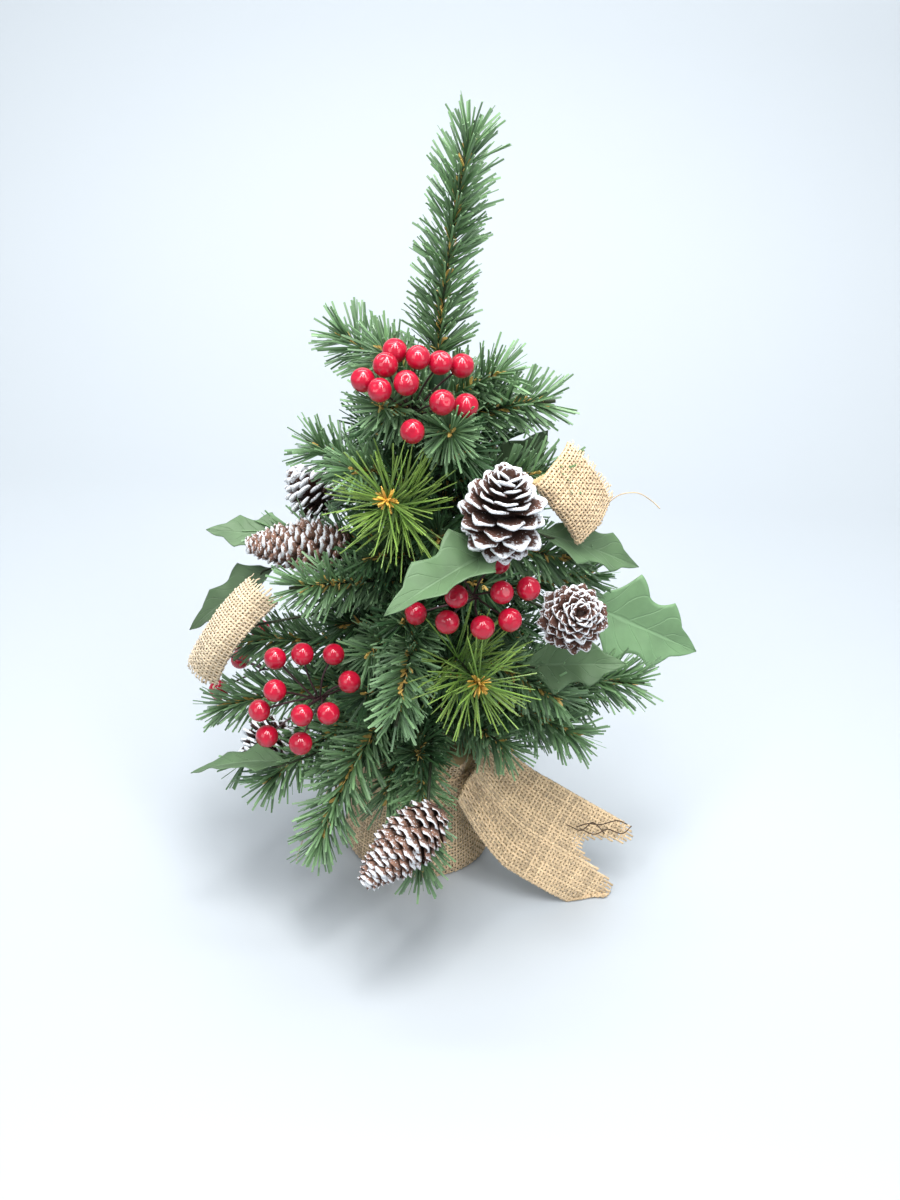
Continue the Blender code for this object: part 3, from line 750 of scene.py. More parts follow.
def needle_blank(name, width, thickness, point=0.9, bow=0.05):
    """One needle of unit length along Z: a thin closed strip, a little narrower and bowed toward its end."""
    levels = (0.0, 0.45, 0.8, 1.0)
    widths = (0.75, 1.0, 0.92, point)
    points, faces = [], []
    for level, share in zip(levels, widths):
        x, y = width / 2 * share, thickness / 2
        shift = bow * width * 6 * level * level
        points += [
            (-x, -y + shift, level), (x, -y + shift, level), (x, y + shift, level), (-x, y + shift, level)
        ]
    for ring in range(len(levels) - 1):
        a = ring * 4
        faces += [(a + i, a + (i + 1) % 4, a + 4 + (i + 1) % 4, a + 4 + i) for i in range(4)]
    faces += [(3, 2, 1, 0), tuple(range(len(points) - 4, len(points)))]
    mesh = new_mesh(name, points, faces)
    reach = mesh.attributes.new("reach", "FLOAT", "POINT")
    reach.data.foreach_set("value", np.array([p[2] for p in points], np.float32))
    blank = bpy.data.objects.new(name, mesh)
    return blank


def wires_object(name, paths):
    """A mesh of bare edges, one chain for each path."""
    mesh = bpy.data.meshes.new(name)
    points, edges = [], []
    for path in paths:
        edges += [(len(points) + i, len(points) + i + 1) for i in range(len(path) - 1)]
        points += [tuple(p) for p in path]
    mesh.from_pydata(points, edges, [])
    return new_object(name, mesh)


def grow(name, paths, tree, values):
    """Needles on the paths as a plain mesh object."""
    obj = wires_object(name, paths)
    modifier = obj.modifiers.new("Needles", "NODES")
    modifier.node_group = tree
    for label, value in values.items():
        set_input(modifier, label, value)
    return apply_modifiers(obj)


def keep_clear_object():
    """Everything that a needle may not pass through, and the floor, as one mesh."""
    shape = bmesh.new()
    solid = ("cone_", "berries_", "leaf_", "ribbon_", "tie_", "base_wrap")
    for name, obj in frame["nodes"].items():
        if name.startswith(solid):
            shape.from_mesh(obj.data)
    for spray in SPRAYS:
        for offset in spray.berries:
            centre = (Vector(spray.hub) + Vector(offset) * 1.25) * MM
            place = Matrix.Translation(centre)
            bmesh.ops.create_uvsphere(shape, u_segments=8, v_segments=6, radius=9 * MM, matrix=place)
    bmesh.ops.create_grid(
        shape, x_segments=1, y_segments=1, size=0.3, matrix=Matrix.Translation((0, 0, 1 * MM))
    )
    return bpy.data.objects.new("keep_clear", closed_shape("keep_clear", shape, smooth=False))


def trunk_sprigs():
    """Tips bound to the trunk: the ones that show, and shorter ones at the golden angle that fill it in."""
    low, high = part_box("trunk_tape")
    reach = high.x
    sprigs = list(SHOWN_SPRIGS)
    for index in range(INNER_SPRIGS):
        share = index / (INNER_SPRIGS - 1)
        azimuth = np.degrees(index * GOLDEN_ANGLE) % 360
        back = max(0.0, -cos(radians(azimuth)))
        room = (118 - 62 * share) * MM
        height = low.z + 8 * MM + share * (high.z - low.z - 30 * MM)
        sprigs.append(Sprig(height, azimuth, 14 + 12 * share, 10, room * (0.52 + 0.16 * back)))
    paths = []
    for sprig in sprigs:
        root = Vector((sin(radians(sprig.azimuth)), -cos(radians(sprig.azimuth)), 0)) * reach
        root.z = sprig.height
        paths.append(arc_path(root, sprig.azimuth, sprig.rise, sprig.droop, sprig.length))
    return paths


class TREE_OT_needles(Operator):
    """Grow film needles and tan flecks on every bendable tip and on the sprigs of the trunk"""

    bl_idname = "tree.needles"
    bl_label = "Needle tips"

    def execute(self, context):
        settings = context.scene.tree_needles
        tree = needle_tree()
        clear = keep_clear_object()
        film = needle_film(
            "Cut green PVC film", tuple(settings.dark), tuple(settings.light), linear("#93b489")
        )
        tan = plain_material("Tan bract film", "#c4a258", 0.5, scale=300, spread=0.4)
        needle = needle_blank("needle_blank", settings.width, 0.28 * MM)
        fleck = needle_blank("fleck_blank", 1.9 * MM, 0.4 * MM, point=0.25)
        film_values = {
            "Spacing": 1 / settings.density,
            "Lean": settings.lean,
            "Length": settings.length,
            "Needle": needle,
            "Material": film,
            "Keep Clear": clear,
        }
        fleck_values = {
            "Spacing": 1 / 900,
            "Lean": radians(38),
            "Tip Lean": radians(24),
            "Spread": radians(22),
            "Looseness": pi,
            "Length": 6.5 * MM,
            "Needle": fleck,
            "Material": tan,
            "Keep Clear": clear,
        }
        tips = [j["child"] for j in frame["joints"] if j["child"] not in PINE_PICKS]
        for number, branch in enumerate(tips):
            path = wire_path(branch)
            bare = path[0].lerp(path[1], 0.45)
            last = path[-1] - (path[-1] - path[-2]).normalized() * TIP_TRIM
            paths = [[bare] + path[1:-1] + [last]]
            needles = grow(branch + "_film", paths, tree, {**film_values, "Seed": 10 * number})
            mount(needles, branch, "needles", branch + "_needles")
            flecks = grow(branch + "_flecks", paths, tree, {**fleck_values, "Seed": 10 * number + 5})
            mount(flecks, branch, "needles")
        # The inner sprigs wear the same film at half its brightness: painted shade for the inside of the
        # tree.
        shade_darkened_inner = needle_film(
            "Green PVC film in painted shade",
            tuple(c * 0.5 for c in settings.dark),
            tuple(c * 0.5 for c in settings.light),
            linear("#3f6a40"),
        )
        paths = trunk_sprigs()
        shown = len(SHOWN_SPRIGS)
        middle = shown + INNER_SPRIGS // 2
        groups = {
            "front_sprigs": paths[:shown],
            "inner_sprigs_low": paths[shown:middle],
            "inner_sprigs_high": paths[middle:],
        }
        for number, (name, group) in enumerate(groups.items()):
            # Only the sprigs in front get the plain film; the inner ones get the film in painted shade.
            look = {"Material": film if number == 0 else shade_darkened_inner}
            needles = grow(name, group, tree, {**film_values, **look, "Seed": 400 + number})
            mount(needles, TRUNK, "needles")
            flecks = grow(name + "_flecks", group, tree, {**fleck_values, "Seed": 440 + number})
            mount(flecks, TRUNK, "needles")
            wires = sweep(name + "_wires", group, 0.8 * MM, bpy.data.materials["Twisted wire"])
            mount(wires, TRUNK, "wire")
        return {"FINISHED"}


class TREE_OT_pine_picks(Operator):
    """Grow the long-needled pine picks with their buds"""

    bl_idname = "tree.pine_picks"
    bl_label = "Pine picks"

    def execute(self, context):
        settings = context.scene.tree_needles
        tree = bpy.data.node_groups["Needles on a wire"]
        clear = keep_clear_object()
        pine = needle_film("Drawn pine needle", linear("#1c3a14"), linear("#5a842f"), linear("#a3c05a"))
        bud_film = needle_film("Golden bud bract", linear("#8a5a22"), linear("#e0aa3c"), linear("#f0c860"))
        needle = needle_blank("pine_blank", 0.62 * MM, 0.5 * MM, point=0.45, bow=0.3)
        bract = needle_blank("bract_blank", 1.5 * MM, 0.5 * MM, point=0.25)
        for number, pick in enumerate(PINE_PICKS):
            path = wire_path(pick)
            length = sum((b - a).length for a, b in zip(path, path[1:]))
            start = path[0].lerp(path[-1], 1 - 46 * MM / length)
            values = {
                "Spacing": 1 / settings.pine_density,
                "Lean": radians(58),
                "Tip Lean": radians(50),
                "Spread": radians(26),
                "Looseness": pi,
                "Length": settings.pine_length,
                "Tip Share": 0.92,
                "Fade From": 0.5,
                "Seed": 600 + number,
                "Needle": needle,
                "Keep Clear": clear,
                "Material": pine,
            }
            needles = grow(pick + "_spray", [[start, path[-1]]], tree, values)
            mount(needles, pick, "pine_needles", pick + "_needles")
            bud_values = {
                **values,
                "Spacing": 0.14 * MM,
                "Lean": radians(62),
                "Tip Lean": radians(30),
                "Spread": radians(20),
                "Length": 8 * MM,
                "Seed": 620 + number,
                "Needle": bract,
                "Material": bud_film,
            }
            bud = grow(
                pick + "_bud",
                [[path[-1] + (path[-2] - path[-1]).normalized() * 4 * MM, path[-1]]],
                tree,
                bud_values
            )
            mount(bud, pick, "pine_needles")
        return {"FINISHED"}


# ---------------------------------------------------------------- tubes


def sweep(name, paths, radius, material, sides=6):
    """Round tubes along the paths as one plain mesh object, all of one radius."""
    data = bpy.data.curves.new(name, "CURVE")
    data.dimensions = "3D"
    data.bevel_depth = 1.0
    data.bevel_resolution = max(0, sides // 2 - 2)
    data.use_fill_caps = True
    data.materials.append(material)
    for path in paths:
        spline = data.splines.new("POLY")
        spline.points.add(len(path) - 1)
        for point, place in zip(spline.points, path):
            point.co = (*place, 1)
            point.radius = radius
    curve = bpy.data.objects.new(name, data)
    bpy.context.scene.collection.objects.link(curve)
    graph = bpy.context.evaluated_depsgraph_get()
    mesh = bpy.data.meshes.new_from_object(curve.evaluated_get(graph))
    bpy.data.objects.remove(curve)
    shape = bmesh.new()
    shape.from_mesh(mesh)
    bmesh.ops.remove_doubles(shape, verts=shape.verts, dist=0.00001)
    bmesh.ops.recalc_face_normals(shape, faces=shape.faces)
    shape.to_mesh(mesh)
    shape.free()
    mesh.shade_smooth()
    return new_object(name, mesh)


def smooth_path(points, steps=6):
    """Catmull-Rom points through the given ones."""
    ends = [points[0] * 2 - points[1], *points, points[-1] * 2 - points[-2]]
    made = []
    for a, b, c, d in zip(ends, ends[1:], ends[2:], ends[3:]):
        for step in range(steps):
            t = step / steps
            made.append(
                (
                    b * 2 + (c - a) * t + (a * 2 - b * 5 + c * 4 - d) * t**2 + (b * 3 - a - c * 3 + d) * t**3
                ) / 2
            )
    return made + [points[-1]]


def foot_of(node):
    """Where a pick's stem starts beside the trunk: the middle of the CAD points nearest the trunk."""
    points = corners_of(node)
    reach = np.hypot(points[:, 0], points[:, 1])
    return Vector(points[reach < reach.min() + 2.5 * MM].mean(axis=0))


# ---------------------------------------------------------------- cones


def scale_blank(name, length, width, thickness, cup, hook, lip=2.6):
    """A cone scale along Z, root at the origin, outer face toward +X: a cupped tongue with a swollen lip."""
    rows, columns = 7, 5
    outer, shade_darkened_inner, outer_reach, inner_reach = [], [], [], []
    for row in range(rows):
        s = row / (rows - 1)
        half = width / 2 * (0.32 + 0.68 * min(1.0, s / 0.72) ** 0.9)
        half *= 1.0 if s < 0.8 else 1.0 - 0.42 * ((s - 0.8) / 0.2) ** 2
        for column in range(columns):
            t = 2 * column / (columns - 1) - 1
            x = -cup * (t * t) * width + hook * length * s * s
            z = length * (s - 0.12 * t * t * s)
            swollen = thickness * (0.5 + lip * max(0.0, s - 0.55) / 0.45 * (1 - 0.55 * t * t))
            swollen *= 0.75 if s == 1 else 1.0
            outer.append((x + swollen * 0.7, t * half, z - swollen * 0.25 * s))
            shade_darkened_inner.append((x - swollen * 0.3, t * half * 0.97, z))
            # reach also sets how dark the wood is: the inner face gets less of it, so it is darker there,
            # partly as painted shade between the scales.
            outer_reach.append(s + 0.12)
            inner_reach.append(0.90 * s + 0.12 * abs(t) * s)
    points = outer + shade_darkened_inner
    count = rows * columns
    faces = []
    for row in range(rows - 1):
        for column in range(columns - 1):
            a = row * columns + column
            faces.append((a, a + 1, a + columns + 1, a + columns))
            faces.append((count + a, count + a + columns, count + a + columns + 1, count + a + 1))
    rim = (
        [c for c in range(columns)]
        + [r * columns + columns - 1 for r in range(1, rows)]
        + [(rows - 1) * columns + c for c in range(columns - 2, -1, -1)]
        + [r * columns for r in range(rows - 2, 0, -1)]
    )
    for a, b in zip(rim, rim[1:] + rim[:1]):
        faces.append((a, count + a, count + b, b))
    mesh = new_mesh(name, points, faces)
    reach = mesh.attributes.new("reach", "FLOAT", "POINT")
    reach.data.foreach_set("value", np.array(outer_reach + inner_reach, np.float32))
    mesh.shade_smooth()
    return bpy.data.objects.new(name, mesh)


def turned_core(name, length, radius, material):
    """The dark core that the scales stand on."""
    shape = bmesh.new()
    bmesh.ops.create_uvsphere(shape, u_segments=16, v_segments=10, radius=1)
    stretch = Matrix.Translation((0, 0, length * 0.48)) @ Matrix.Diagonal((radius, radius, length * 0.46, 1))
    bmesh.ops.transform(shape, matrix=stretch, verts=shape.verts)
    return new_object(name, closed_shape(name, shape), material)


class TREE_OT_cones(Operator):
    """Build the frosted cones scale by scale on their cores and stems"""

    bl_idname = "tree.cones"
    bl_label = "Cones"

    def execute(self, context):
        settings = context.scene.tree_cones
        tree = scale_tree()
        brown, frost = tuple(settings.brown), tuple(settings.frost)
        pine = frosted_scale("Frosted pine scale", brown, frost, 0.84)
        bleached = tuple(c * 0.82 for c in frost)
        spruce = frosted_scale("Frosted spruce scale", linear("#6a4d3f"), bleached, 1.01)
        dusted = frosted_scale("Dusted pine scale", brown, frost, 0.92)
        core_wood = plain_material("Cone core", "#2a1710", 0.9, scale=500, spread=0.4)
        wire = bpy.data.materials["Twisted wire"]
        for number, node in enumerate(OPEN_CONES + LONG_CONES):
            base, axis, length, radius = cone_frame(node)
            is_open = node in OPEN_CONES
            fine = 0.78 if node == "cone_right" else 1.0
            if is_open:
                broad = radius * 0.60 * fine
                blank = scale_blank(node + "_blank", radius * 0.80, broad, 0.9 * MM, 0.10, 0.12, 2.1)
                core = radius * 0.20
                values = {
                    "Count": round(settings.open_scales / fine**1.6),
                    "Height": length * 0.80,
                    "Core": core,
                    "Base Tilt": radians(108),
                    "Apex Tilt": radians(14),
                    "Base Size": 0.62,
                    "Middle Size": 1.0,
                    "Apex Size": 0.62,
                }
            else:
                blank = scale_blank(node + "_blank", radius * 0.96, radius * 0.88, 0.5 * MM, 0.16, -0.10, 0.5)
                core = radius * 0.55
                values = {
                    "Count": settings.long_scales,
                    "Height": length * 0.93,
                    "Core": core,
                    "Base Tilt": radians(74),
                    "Apex Tilt": radians(34),
                    "Base Size": 0.72,
                    "Middle Size": 1.0,
                    "Apex Size": 0.6,
                }
            look = (dusted if node == "cone_right" else pine) if is_open else spruce
            obj = wires_object(node + "_scales", [[Vector((0, 0, 0)), Vector((0, 0, length))]])
            modifier = obj.modifiers.new("Scales", "NODES")
            modifier.node_group = tree
            for label, value in {**values, "Seed": number, "Scale": blank, "Material": look}.items():
                set_input(modifier, label, value)
            apply_modifiers(obj)
            place = Matrix.Translation(base) @ axis.to_track_quat("Z", "Y").to_matrix().to_4x4()
            obj.data.transform(place)
            middle = turned_core(node + "_core", length, core * (1.3 if is_open else 1.05), core_wood)
            middle.data.transform(place)
            body = body_of(node)
            stem = sweep(node + "_stem", [[foot_of(node), base + axis * length * 0.2]], 0.9 * MM, wire)
            mount(obj, body, "cone", node)
            mount(middle, body, "cone")
            mount(stem, body, "wire")
        return {"FINISHED"}


# ---------------------------------------------------------------- berries


class TREE_OT_berries(Operator):
    """Build the lacquered berries on their bound stalks"""

    bl_idname = "tree.berries"
    bl_label = "Berry sprays"

    def execute(self, context):
        settings = context.scene.tree_berries
        lacquer = red_lacquer(settings)
        bound = plain_material("Bound berry stalk", "#3a2024", 0.5, scale=900, spread=0.4)
        random = np.random.default_rng(7)
        for spray in SPRAYS:
            hub = Vector(spray.hub) * MM
            foot = foot_of(spray.node)
            inward = (foot - hub).normalized()
            shape = bmesh.new()
            stalks = [smooth_path([foot, foot.lerp(hub, 0.6), hub])]
            for number, offset in enumerate(spray.berries):
                centre = hub + Vector(offset) * MM
                start = hub + inward * (2 + number) * MM
                bow = (centre - start).cross(Vector((0.3, 0.4, 1))).normalized() * 2 * MM
                stalks.append(smooth_path([start, start.lerp(centre, 0.5) + bow, centre]))
                facing = (centre - start).to_track_quat("Z", "Y").to_matrix().to_4x4()
                size = settings.radius * random.uniform(0.94, 1.0)
                squash = Matrix.Diagonal((1, 1, random.uniform(0.95, 1.02), 1))
                made = bmesh.ops.create_uvsphere(shape, u_segments=28, v_segments=18, radius=size)
                verts = made["verts"]
                for vert in verts:
                    end = max(0.0, vert.co.z / size - 0.93) / 0.07
                    vert.co.z -= 0.10 * size * end
                bmesh.ops.transform(shape, matrix=Matrix.Translation(centre) @ facing @ squash, verts=verts)
            name = spray.node + "_lacquered"
            berries = new_object(name, closed_shape(name, shape), lacquer)
            mount(berries, TRUNK, "berry", spray.node)
            stems = sweep(spray.node + "_stalks", stalks, settings.stalk, bound)
            mount(stems, TRUNK, "berry")
        return {"FINISHED"}


# ---------------------------------------------------------------- leaves


def leaf_half_width(u):
    """Share of half the width at a share of the length: two points a side and a drawn-out tip."""
    edge = ((0.0, 0.05), (0.14, 0.42), (0.32, 1.0), (0.46, 0.62), (0.66, 0.74), (0.80, 0.32), (1.0, 0.0))
    for (a, first), (b, last) in zip(edge, edge[1:]):
        if u <= b:
            t = (u - a) / (b - a)
            hollow = 0.10 * sin(pi * t) * (-1 if last > first else 0.4)
            return max(0.0, first + (last - first) * t + hollow)
    return 0.0


def leaf_mesh(name, length, width, fold, sag, twist):
    """A folded and curled blade along X as an open grid, with its place on the blade stored for the veins."""
    rows, columns = 44, 14
    points, places, faces = [], [], []
    for row in range(rows + 1):
        u = row / rows
        half = leaf_half_width(u) * width / 2
        swing = radians(twist) * (u - 0.3)
        for column in range(columns + 1):
            v = 2 * column / columns - 1
            y = v * max(half, 0.15 * MM)
            z = fold * abs(y) - sag * length * (u - 0.25) ** 2 * (1 if u > 0.25 else 0)
            z += 0.5 * MM * sin(u * 19) * v + 0.35 * MM * sin(u * 31 + 2) * abs(v)
            points.append((u * length, y * cos(swing) - z * sin(swing), y * sin(swing) + z * cos(swing)))
            places.append((u, v, 0.0))
    for row in range(rows):
        for column in range(columns):
            a = row * (columns + 1) + column
            faces.append((a, a + columns + 1, a + columns + 2, a + 1))
    mesh = new_mesh(name, points, faces)
    blade = mesh.attributes.new("blade", "FLOAT_VECTOR", "POINT")
    blade.data.foreach_set("vector", np.array(places, np.float32).ravel())
    mesh.shade_smooth()
    return mesh


class TREE_OT_leaves(Operator):
    """Build the folded polyester leaves on their wires"""

    bl_idname = "tree.leaves"
    bl_label = "Leaves"

    def execute(self, context):
        settings = context.scene.tree_leaves
        green = tuple(settings.green)
        # One leaf green at three brightnesses, the lit one paler and the shaded ones darker and less blue:
        # painted light and shade
        light_copies = [("Lit polyester leaf", 0.84), ("Half-lit polyester leaf", 0.48), ("Shaded polyester leaf", 0.28)]
        cloths = [
            leaf_cloth(n, (green[0] * t, green[1] * t, green[2] * t * (0.8 + 0.2 * t))) for n, t in light_copies
        ]
        wire = bpy.data.materials["Twisted wire"]
        for node in LEAVES:
            matrix, length, width = sheet_frame(node, (0, 0, (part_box(node)[0].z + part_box(node)[1].z) / 2))
            fold, sag, twist = LEAF_SHAPES.get(node, PLAIN_LEAF_SHAPE)
            hidden = LEAF_ROOTS.get(node, 0.0)
            matrix = matrix @ Matrix.Translation((-hidden, 0, 0))
            length, width = length + hidden, width + hidden * 0.6
            mesh = leaf_mesh(node + "_blade", length, width, fold, sag, twist)
            blade = new_object(node + "_blade", mesh, cloths[LEAF_LIGHT_COPIES.get(node, 2)])
            mesh.transform(matrix)
            thick = blade.modifiers.new("Cloth", "SOLIDIFY")
            thick.thickness = settings.thickness
            thick.offset = 0
            apply_modifiers(blade)
            mount(blade, TRUNK, "leaf", node)
            root = matrix.translation
            along = matrix.to_3x3().col[0]
            under = matrix.to_3x3().col[2] * -1.2 * MM
            stem_path = smooth_path([foot_of(node), root + under, root + under + along * length * 0.2])
            stem = sweep(node + "_stem", [stem_path], 0.6 * MM, wire)
            mount(stem, TRUNK, "wire")
        return {"FINISHED"}


# ---------------------------------------------------------------- burlap


def thread_rings(points, normals, half_width, half_thickness, sides=6):
    """Corner rings of a flattened yarn along the points, for one thread."""
    points = np.asarray(points)
    normals = np.asarray(normals)
    tangents = np.gradient(points, axis=0)
    tangents /= np.linalg.norm(tangents, axis=1)[:, None]
    side = np.cross(tangents, normals)
    side /= np.linalg.norm(side, axis=1)[:, None]
    up = np.cross(side, tangents)
    angles = np.arange(sides) * 2 * pi / sides
    return (
        points[:, None]
        + side[:, None] * (np.cos(angles) * half_width)[None, :, None]
        + up[:, None] * (np.sin(angles) * half_thickness)[None, :, None]
    )


def weave_object(name, threads, material, pitch, cover, flatness=0.26, sides=6):
    """One mesh of closed yarn tubes for (points, normals, fineness) threads, with UVs and a shade each."""
    random = np.random.default_rng(len(threads))
    points, faces, uvs, shades, start = [], [], [], [], 0
    for line, normals, fineness in threads:
        rings = thread_rings(
            line, normals, pitch * cover / 2 * fineness, pitch * flatness / 2 * fineness, sides
        )
        count = len(rings)
        reach = np.concatenate([[0], np.cumsum(np.linalg.norm(np.diff(np.asarray(line), axis=0), axis=1))])
        offset = random.uniform(0, 1)
        points.append(rings.reshape(-1, 3))
        shades += [random.uniform(0, 1)] * (count * sides)
        for ring in range(count - 1):
            a = start + ring * sides
            for i in range(sides):
                j = (i + 1) % sides
                faces.append((a + i, a + sides + i, a + sides + j, a + j))
                low, high = (i / sides, (i + 1) / sides)
                near, far = reach[ring] + offset, reach[ring + 1] + offset
                uvs += [(near, low), (far, low), (far, high), (near, high)]
        faces.append(tuple(start + i for i in range(sides)))
        uvs += [(reach[0] + offset, 0)] * sides
        end = start + (count - 1) * sides
        faces.append(tuple(end + i for i in reversed(range(sides))))
        uvs += [(reach[-1] + offset, 0)] * sides
        start += count * sides
    mesh = new_mesh(name, np.concatenate(points), faces)
    layer = mesh.uv_layers.new(name="Yarn")
    layer.data.foreach_set("uv", np.array(uvs, np.float32).ravel())
    shade = mesh.attributes.new("shade", "FLOAT", "POINT")
    shade.data.foreach_set("value", np.array(shades, np.float32))
    mesh.shade_smooth()
    return new_object(name, mesh, material)


def woven_threads(surface, length, width, pitch, inside, fray=0.0, seed=0, pulled=0.0):
    """Plain-weave threads over surface(u, v), a point and a normal for distances along and across.

    inside(u, v) tells whether the cloth covers a place. Warp yarns run on past its end by up to fray.
    Weft yarns are missing from the last bit of the cloth that pulled gives.
    """
    random = np.random.default_rng(seed)
    rise = pitch * 0.13
    threads = []
    count_v = max(2, round(width / pitch))
    count_u = max(2, round(length / pitch))
    step_u, step_v = length / count_u, width / count_v

    def follow(places, parity, ahead=0.0):
        """Splits a row of places into runs inside the cloth, and lays an over-and-under yarn on each."""
        run = []
        for index, (u, v, free) in enumerate([*places, (None, None, False)]):
            if u is not None and (free or inside(u + ahead, v)):
                point, normal = surface(u, v)
                lift = rise * cos(pi * (index / 2 + parity))
                wander = random.normal(0, 0.035 * pitch, 3)
                run.append((np.array(point) + np.array(normal) * lift + wander, np.array(normal)))
                continue
            if len(run) > 3:
                threads.append(([p for p, _ in run], [n for _, n in run], random.uniform(0.82, 1.08)))
            run = []

    for j in range(count_v):
        v = (j + 0.5) * step_v
        over = random.uniform(0, fray) if fray else 0
        under = random.uniform(0, fray) if fray else 0
        samples = np.arange(-round(under / step_u * 2), 2 * count_u + 1 + round(over / step_u * 2))
        row = []
        for i in samples:
            u = i * step_u / 2
            beyond = fray > 0 and (u < 0 or u > length)
            row.append((u, v, beyond))
        follow(row, j % 2)
    for i in range(count_u):
        u = (i + 0.5) * step_u
        follow([(u, k * step_v / 2, False) for k in range(2 * count_v + 1)], (i + 1) % 2, pulled)
    return threads


def everywhere(u, v):
    """The cloth covers the whole of its surface."""
    return True


def lining_object(name, surface, length, width, inside, material, depth=0.78 * MM):
    """The fuzzy inner layer of a ribbon: a thin closed sheet just behind its yarns, darker than them, so that
    its colour paints shade into the gaps between the threads.
    """
    rows, columns = max(6, round(length / (2.5 * MM))), max(4, round(width / (2.5 * MM)))
    points, faces = [], []
    for row in range(rows + 1):
        for column in range(columns + 1):
            point, normal = surface(row / rows * length, column / columns * width)
            points.append(Vector(point) - Vector(normal) * depth)
    for row in range(rows):
        for column in range(columns):
            if inside((row + 0.5) / rows * length, (column + 0.5) / columns * width):
                a = row * (columns + 1) + column
                faces.append((a, a + columns + 1, a + columns + 2, a + 1))
    used = sorted({i for face in faces for i in face})
    place = {old: new for new, old in enumerate(used)}
    mesh = new_mesh(name, [points[i] for i in used], [tuple(place[i] for i in face) for face in faces])
    mesh.shade_smooth()
    cloth = new_object(name, mesh, material)
    cut_width, cut_length = cut_size(surface, length, width)
    thick = cloth.modifiers.new("Cloth", "SOLIDIFY")
    thick.thickness = 0.25 * MM
    thick.offset = 0
    apply_modifiers(cloth)
    mount(cloth, TRUNK, "burlap")


def cut_size(surface, length, width):
    """Flat width and length of the cloth laid on a surface, along the middle of each."""
    across = [Vector(surface(length / 2, width * k / 24)[0]) for k in range(25)]
    along = [Vector(surface(length * k / 48, width / 2)[0]) for k in range(49)]
    return tuple(sum((b - a).length for a, b in zip(run, run[1:])) for run in (across, along))


def profile_surface(profile):
    """surface(u, v) for cloth turned round Z: u the way round at the widest radius, v the way up."""
    steps = np.linalg.norm(np.diff(np.array(profile), axis=0), axis=1)
    marks = np.concatenate([[0], np.cumsum(steps)])
    widest = max(radius for radius, _ in profile)

    def surface(u, v, pleats=0.0):
        radius = np.interp(v, marks, [p[0] for p in profile])
        height = np.interp(v, marks, [p[1] for p in profile])
        angle = u / widest
        radius = radius + pleats * sin(angle * 17 + 1.3 * sin(angle * 3))
        ahead = np.interp(
            v + 0.5 * MM, marks, [p[0] for p in profile]
        ) - np.interp(v - 0.5 * MM, marks, [p[0] for p in profile])
        rise = np.interp(
            v + 0.5 * MM, marks, [p[1] for p in profile]
        ) - np.interp(v - 0.5 * MM, marks, [p[1] for p in profile])
        normal = Vector((rise * cos(angle), rise * sin(angle), -ahead)).normalized()
        return (radius * cos(angle), radius * sin(angle), height), normal

    return surface, 2 * pi * widest, marks[-1]


def strip_surface(matrix, length, bend, width, curl, fold=0.0):
    """surface(u, v) for a ribbon along X of a frame: arched by bend, hollowed by curl, folded past length."""
    half = bend / 2
    radius = length / 2 / half
    turn_radius = 3.2 * MM

    def place(u, v):
        run = min(u, length)
        angle = bend * (run / length - 0.5)
        x = radius * sin(angle) + length / 2
        z = radius * (cos(angle) - 1) + radius * (1 - cos(half)) * 0.5
        side = v - width / 2
        if u > length:
            around = min(pi, (u - length) / turn_radius)
            back = max(0.0, u - length - pi * turn_radius)
            x += turn_radius * sin(around) - back * cos(half)
            z += turn_radius * (cos(around) - 1) + back * sin(half) * 0.6
            side += fold * back
        z -= curl * (2 * side / width) ** 2
        z += 0.7 * MM * sin(u / length * 7 + v / width * 4) + 0.4 * MM * cos(v / width * 9)
        return matrix @ Vector((x, side, z))

    def surface(u, v):
        point = place(u, v)
        ahead = place(u + 0.4 * MM, v) - point
        beside = place(u, v + 0.4 * MM) - point
        return tuple(point), ahead.cross(beside).normalized()

    return surface


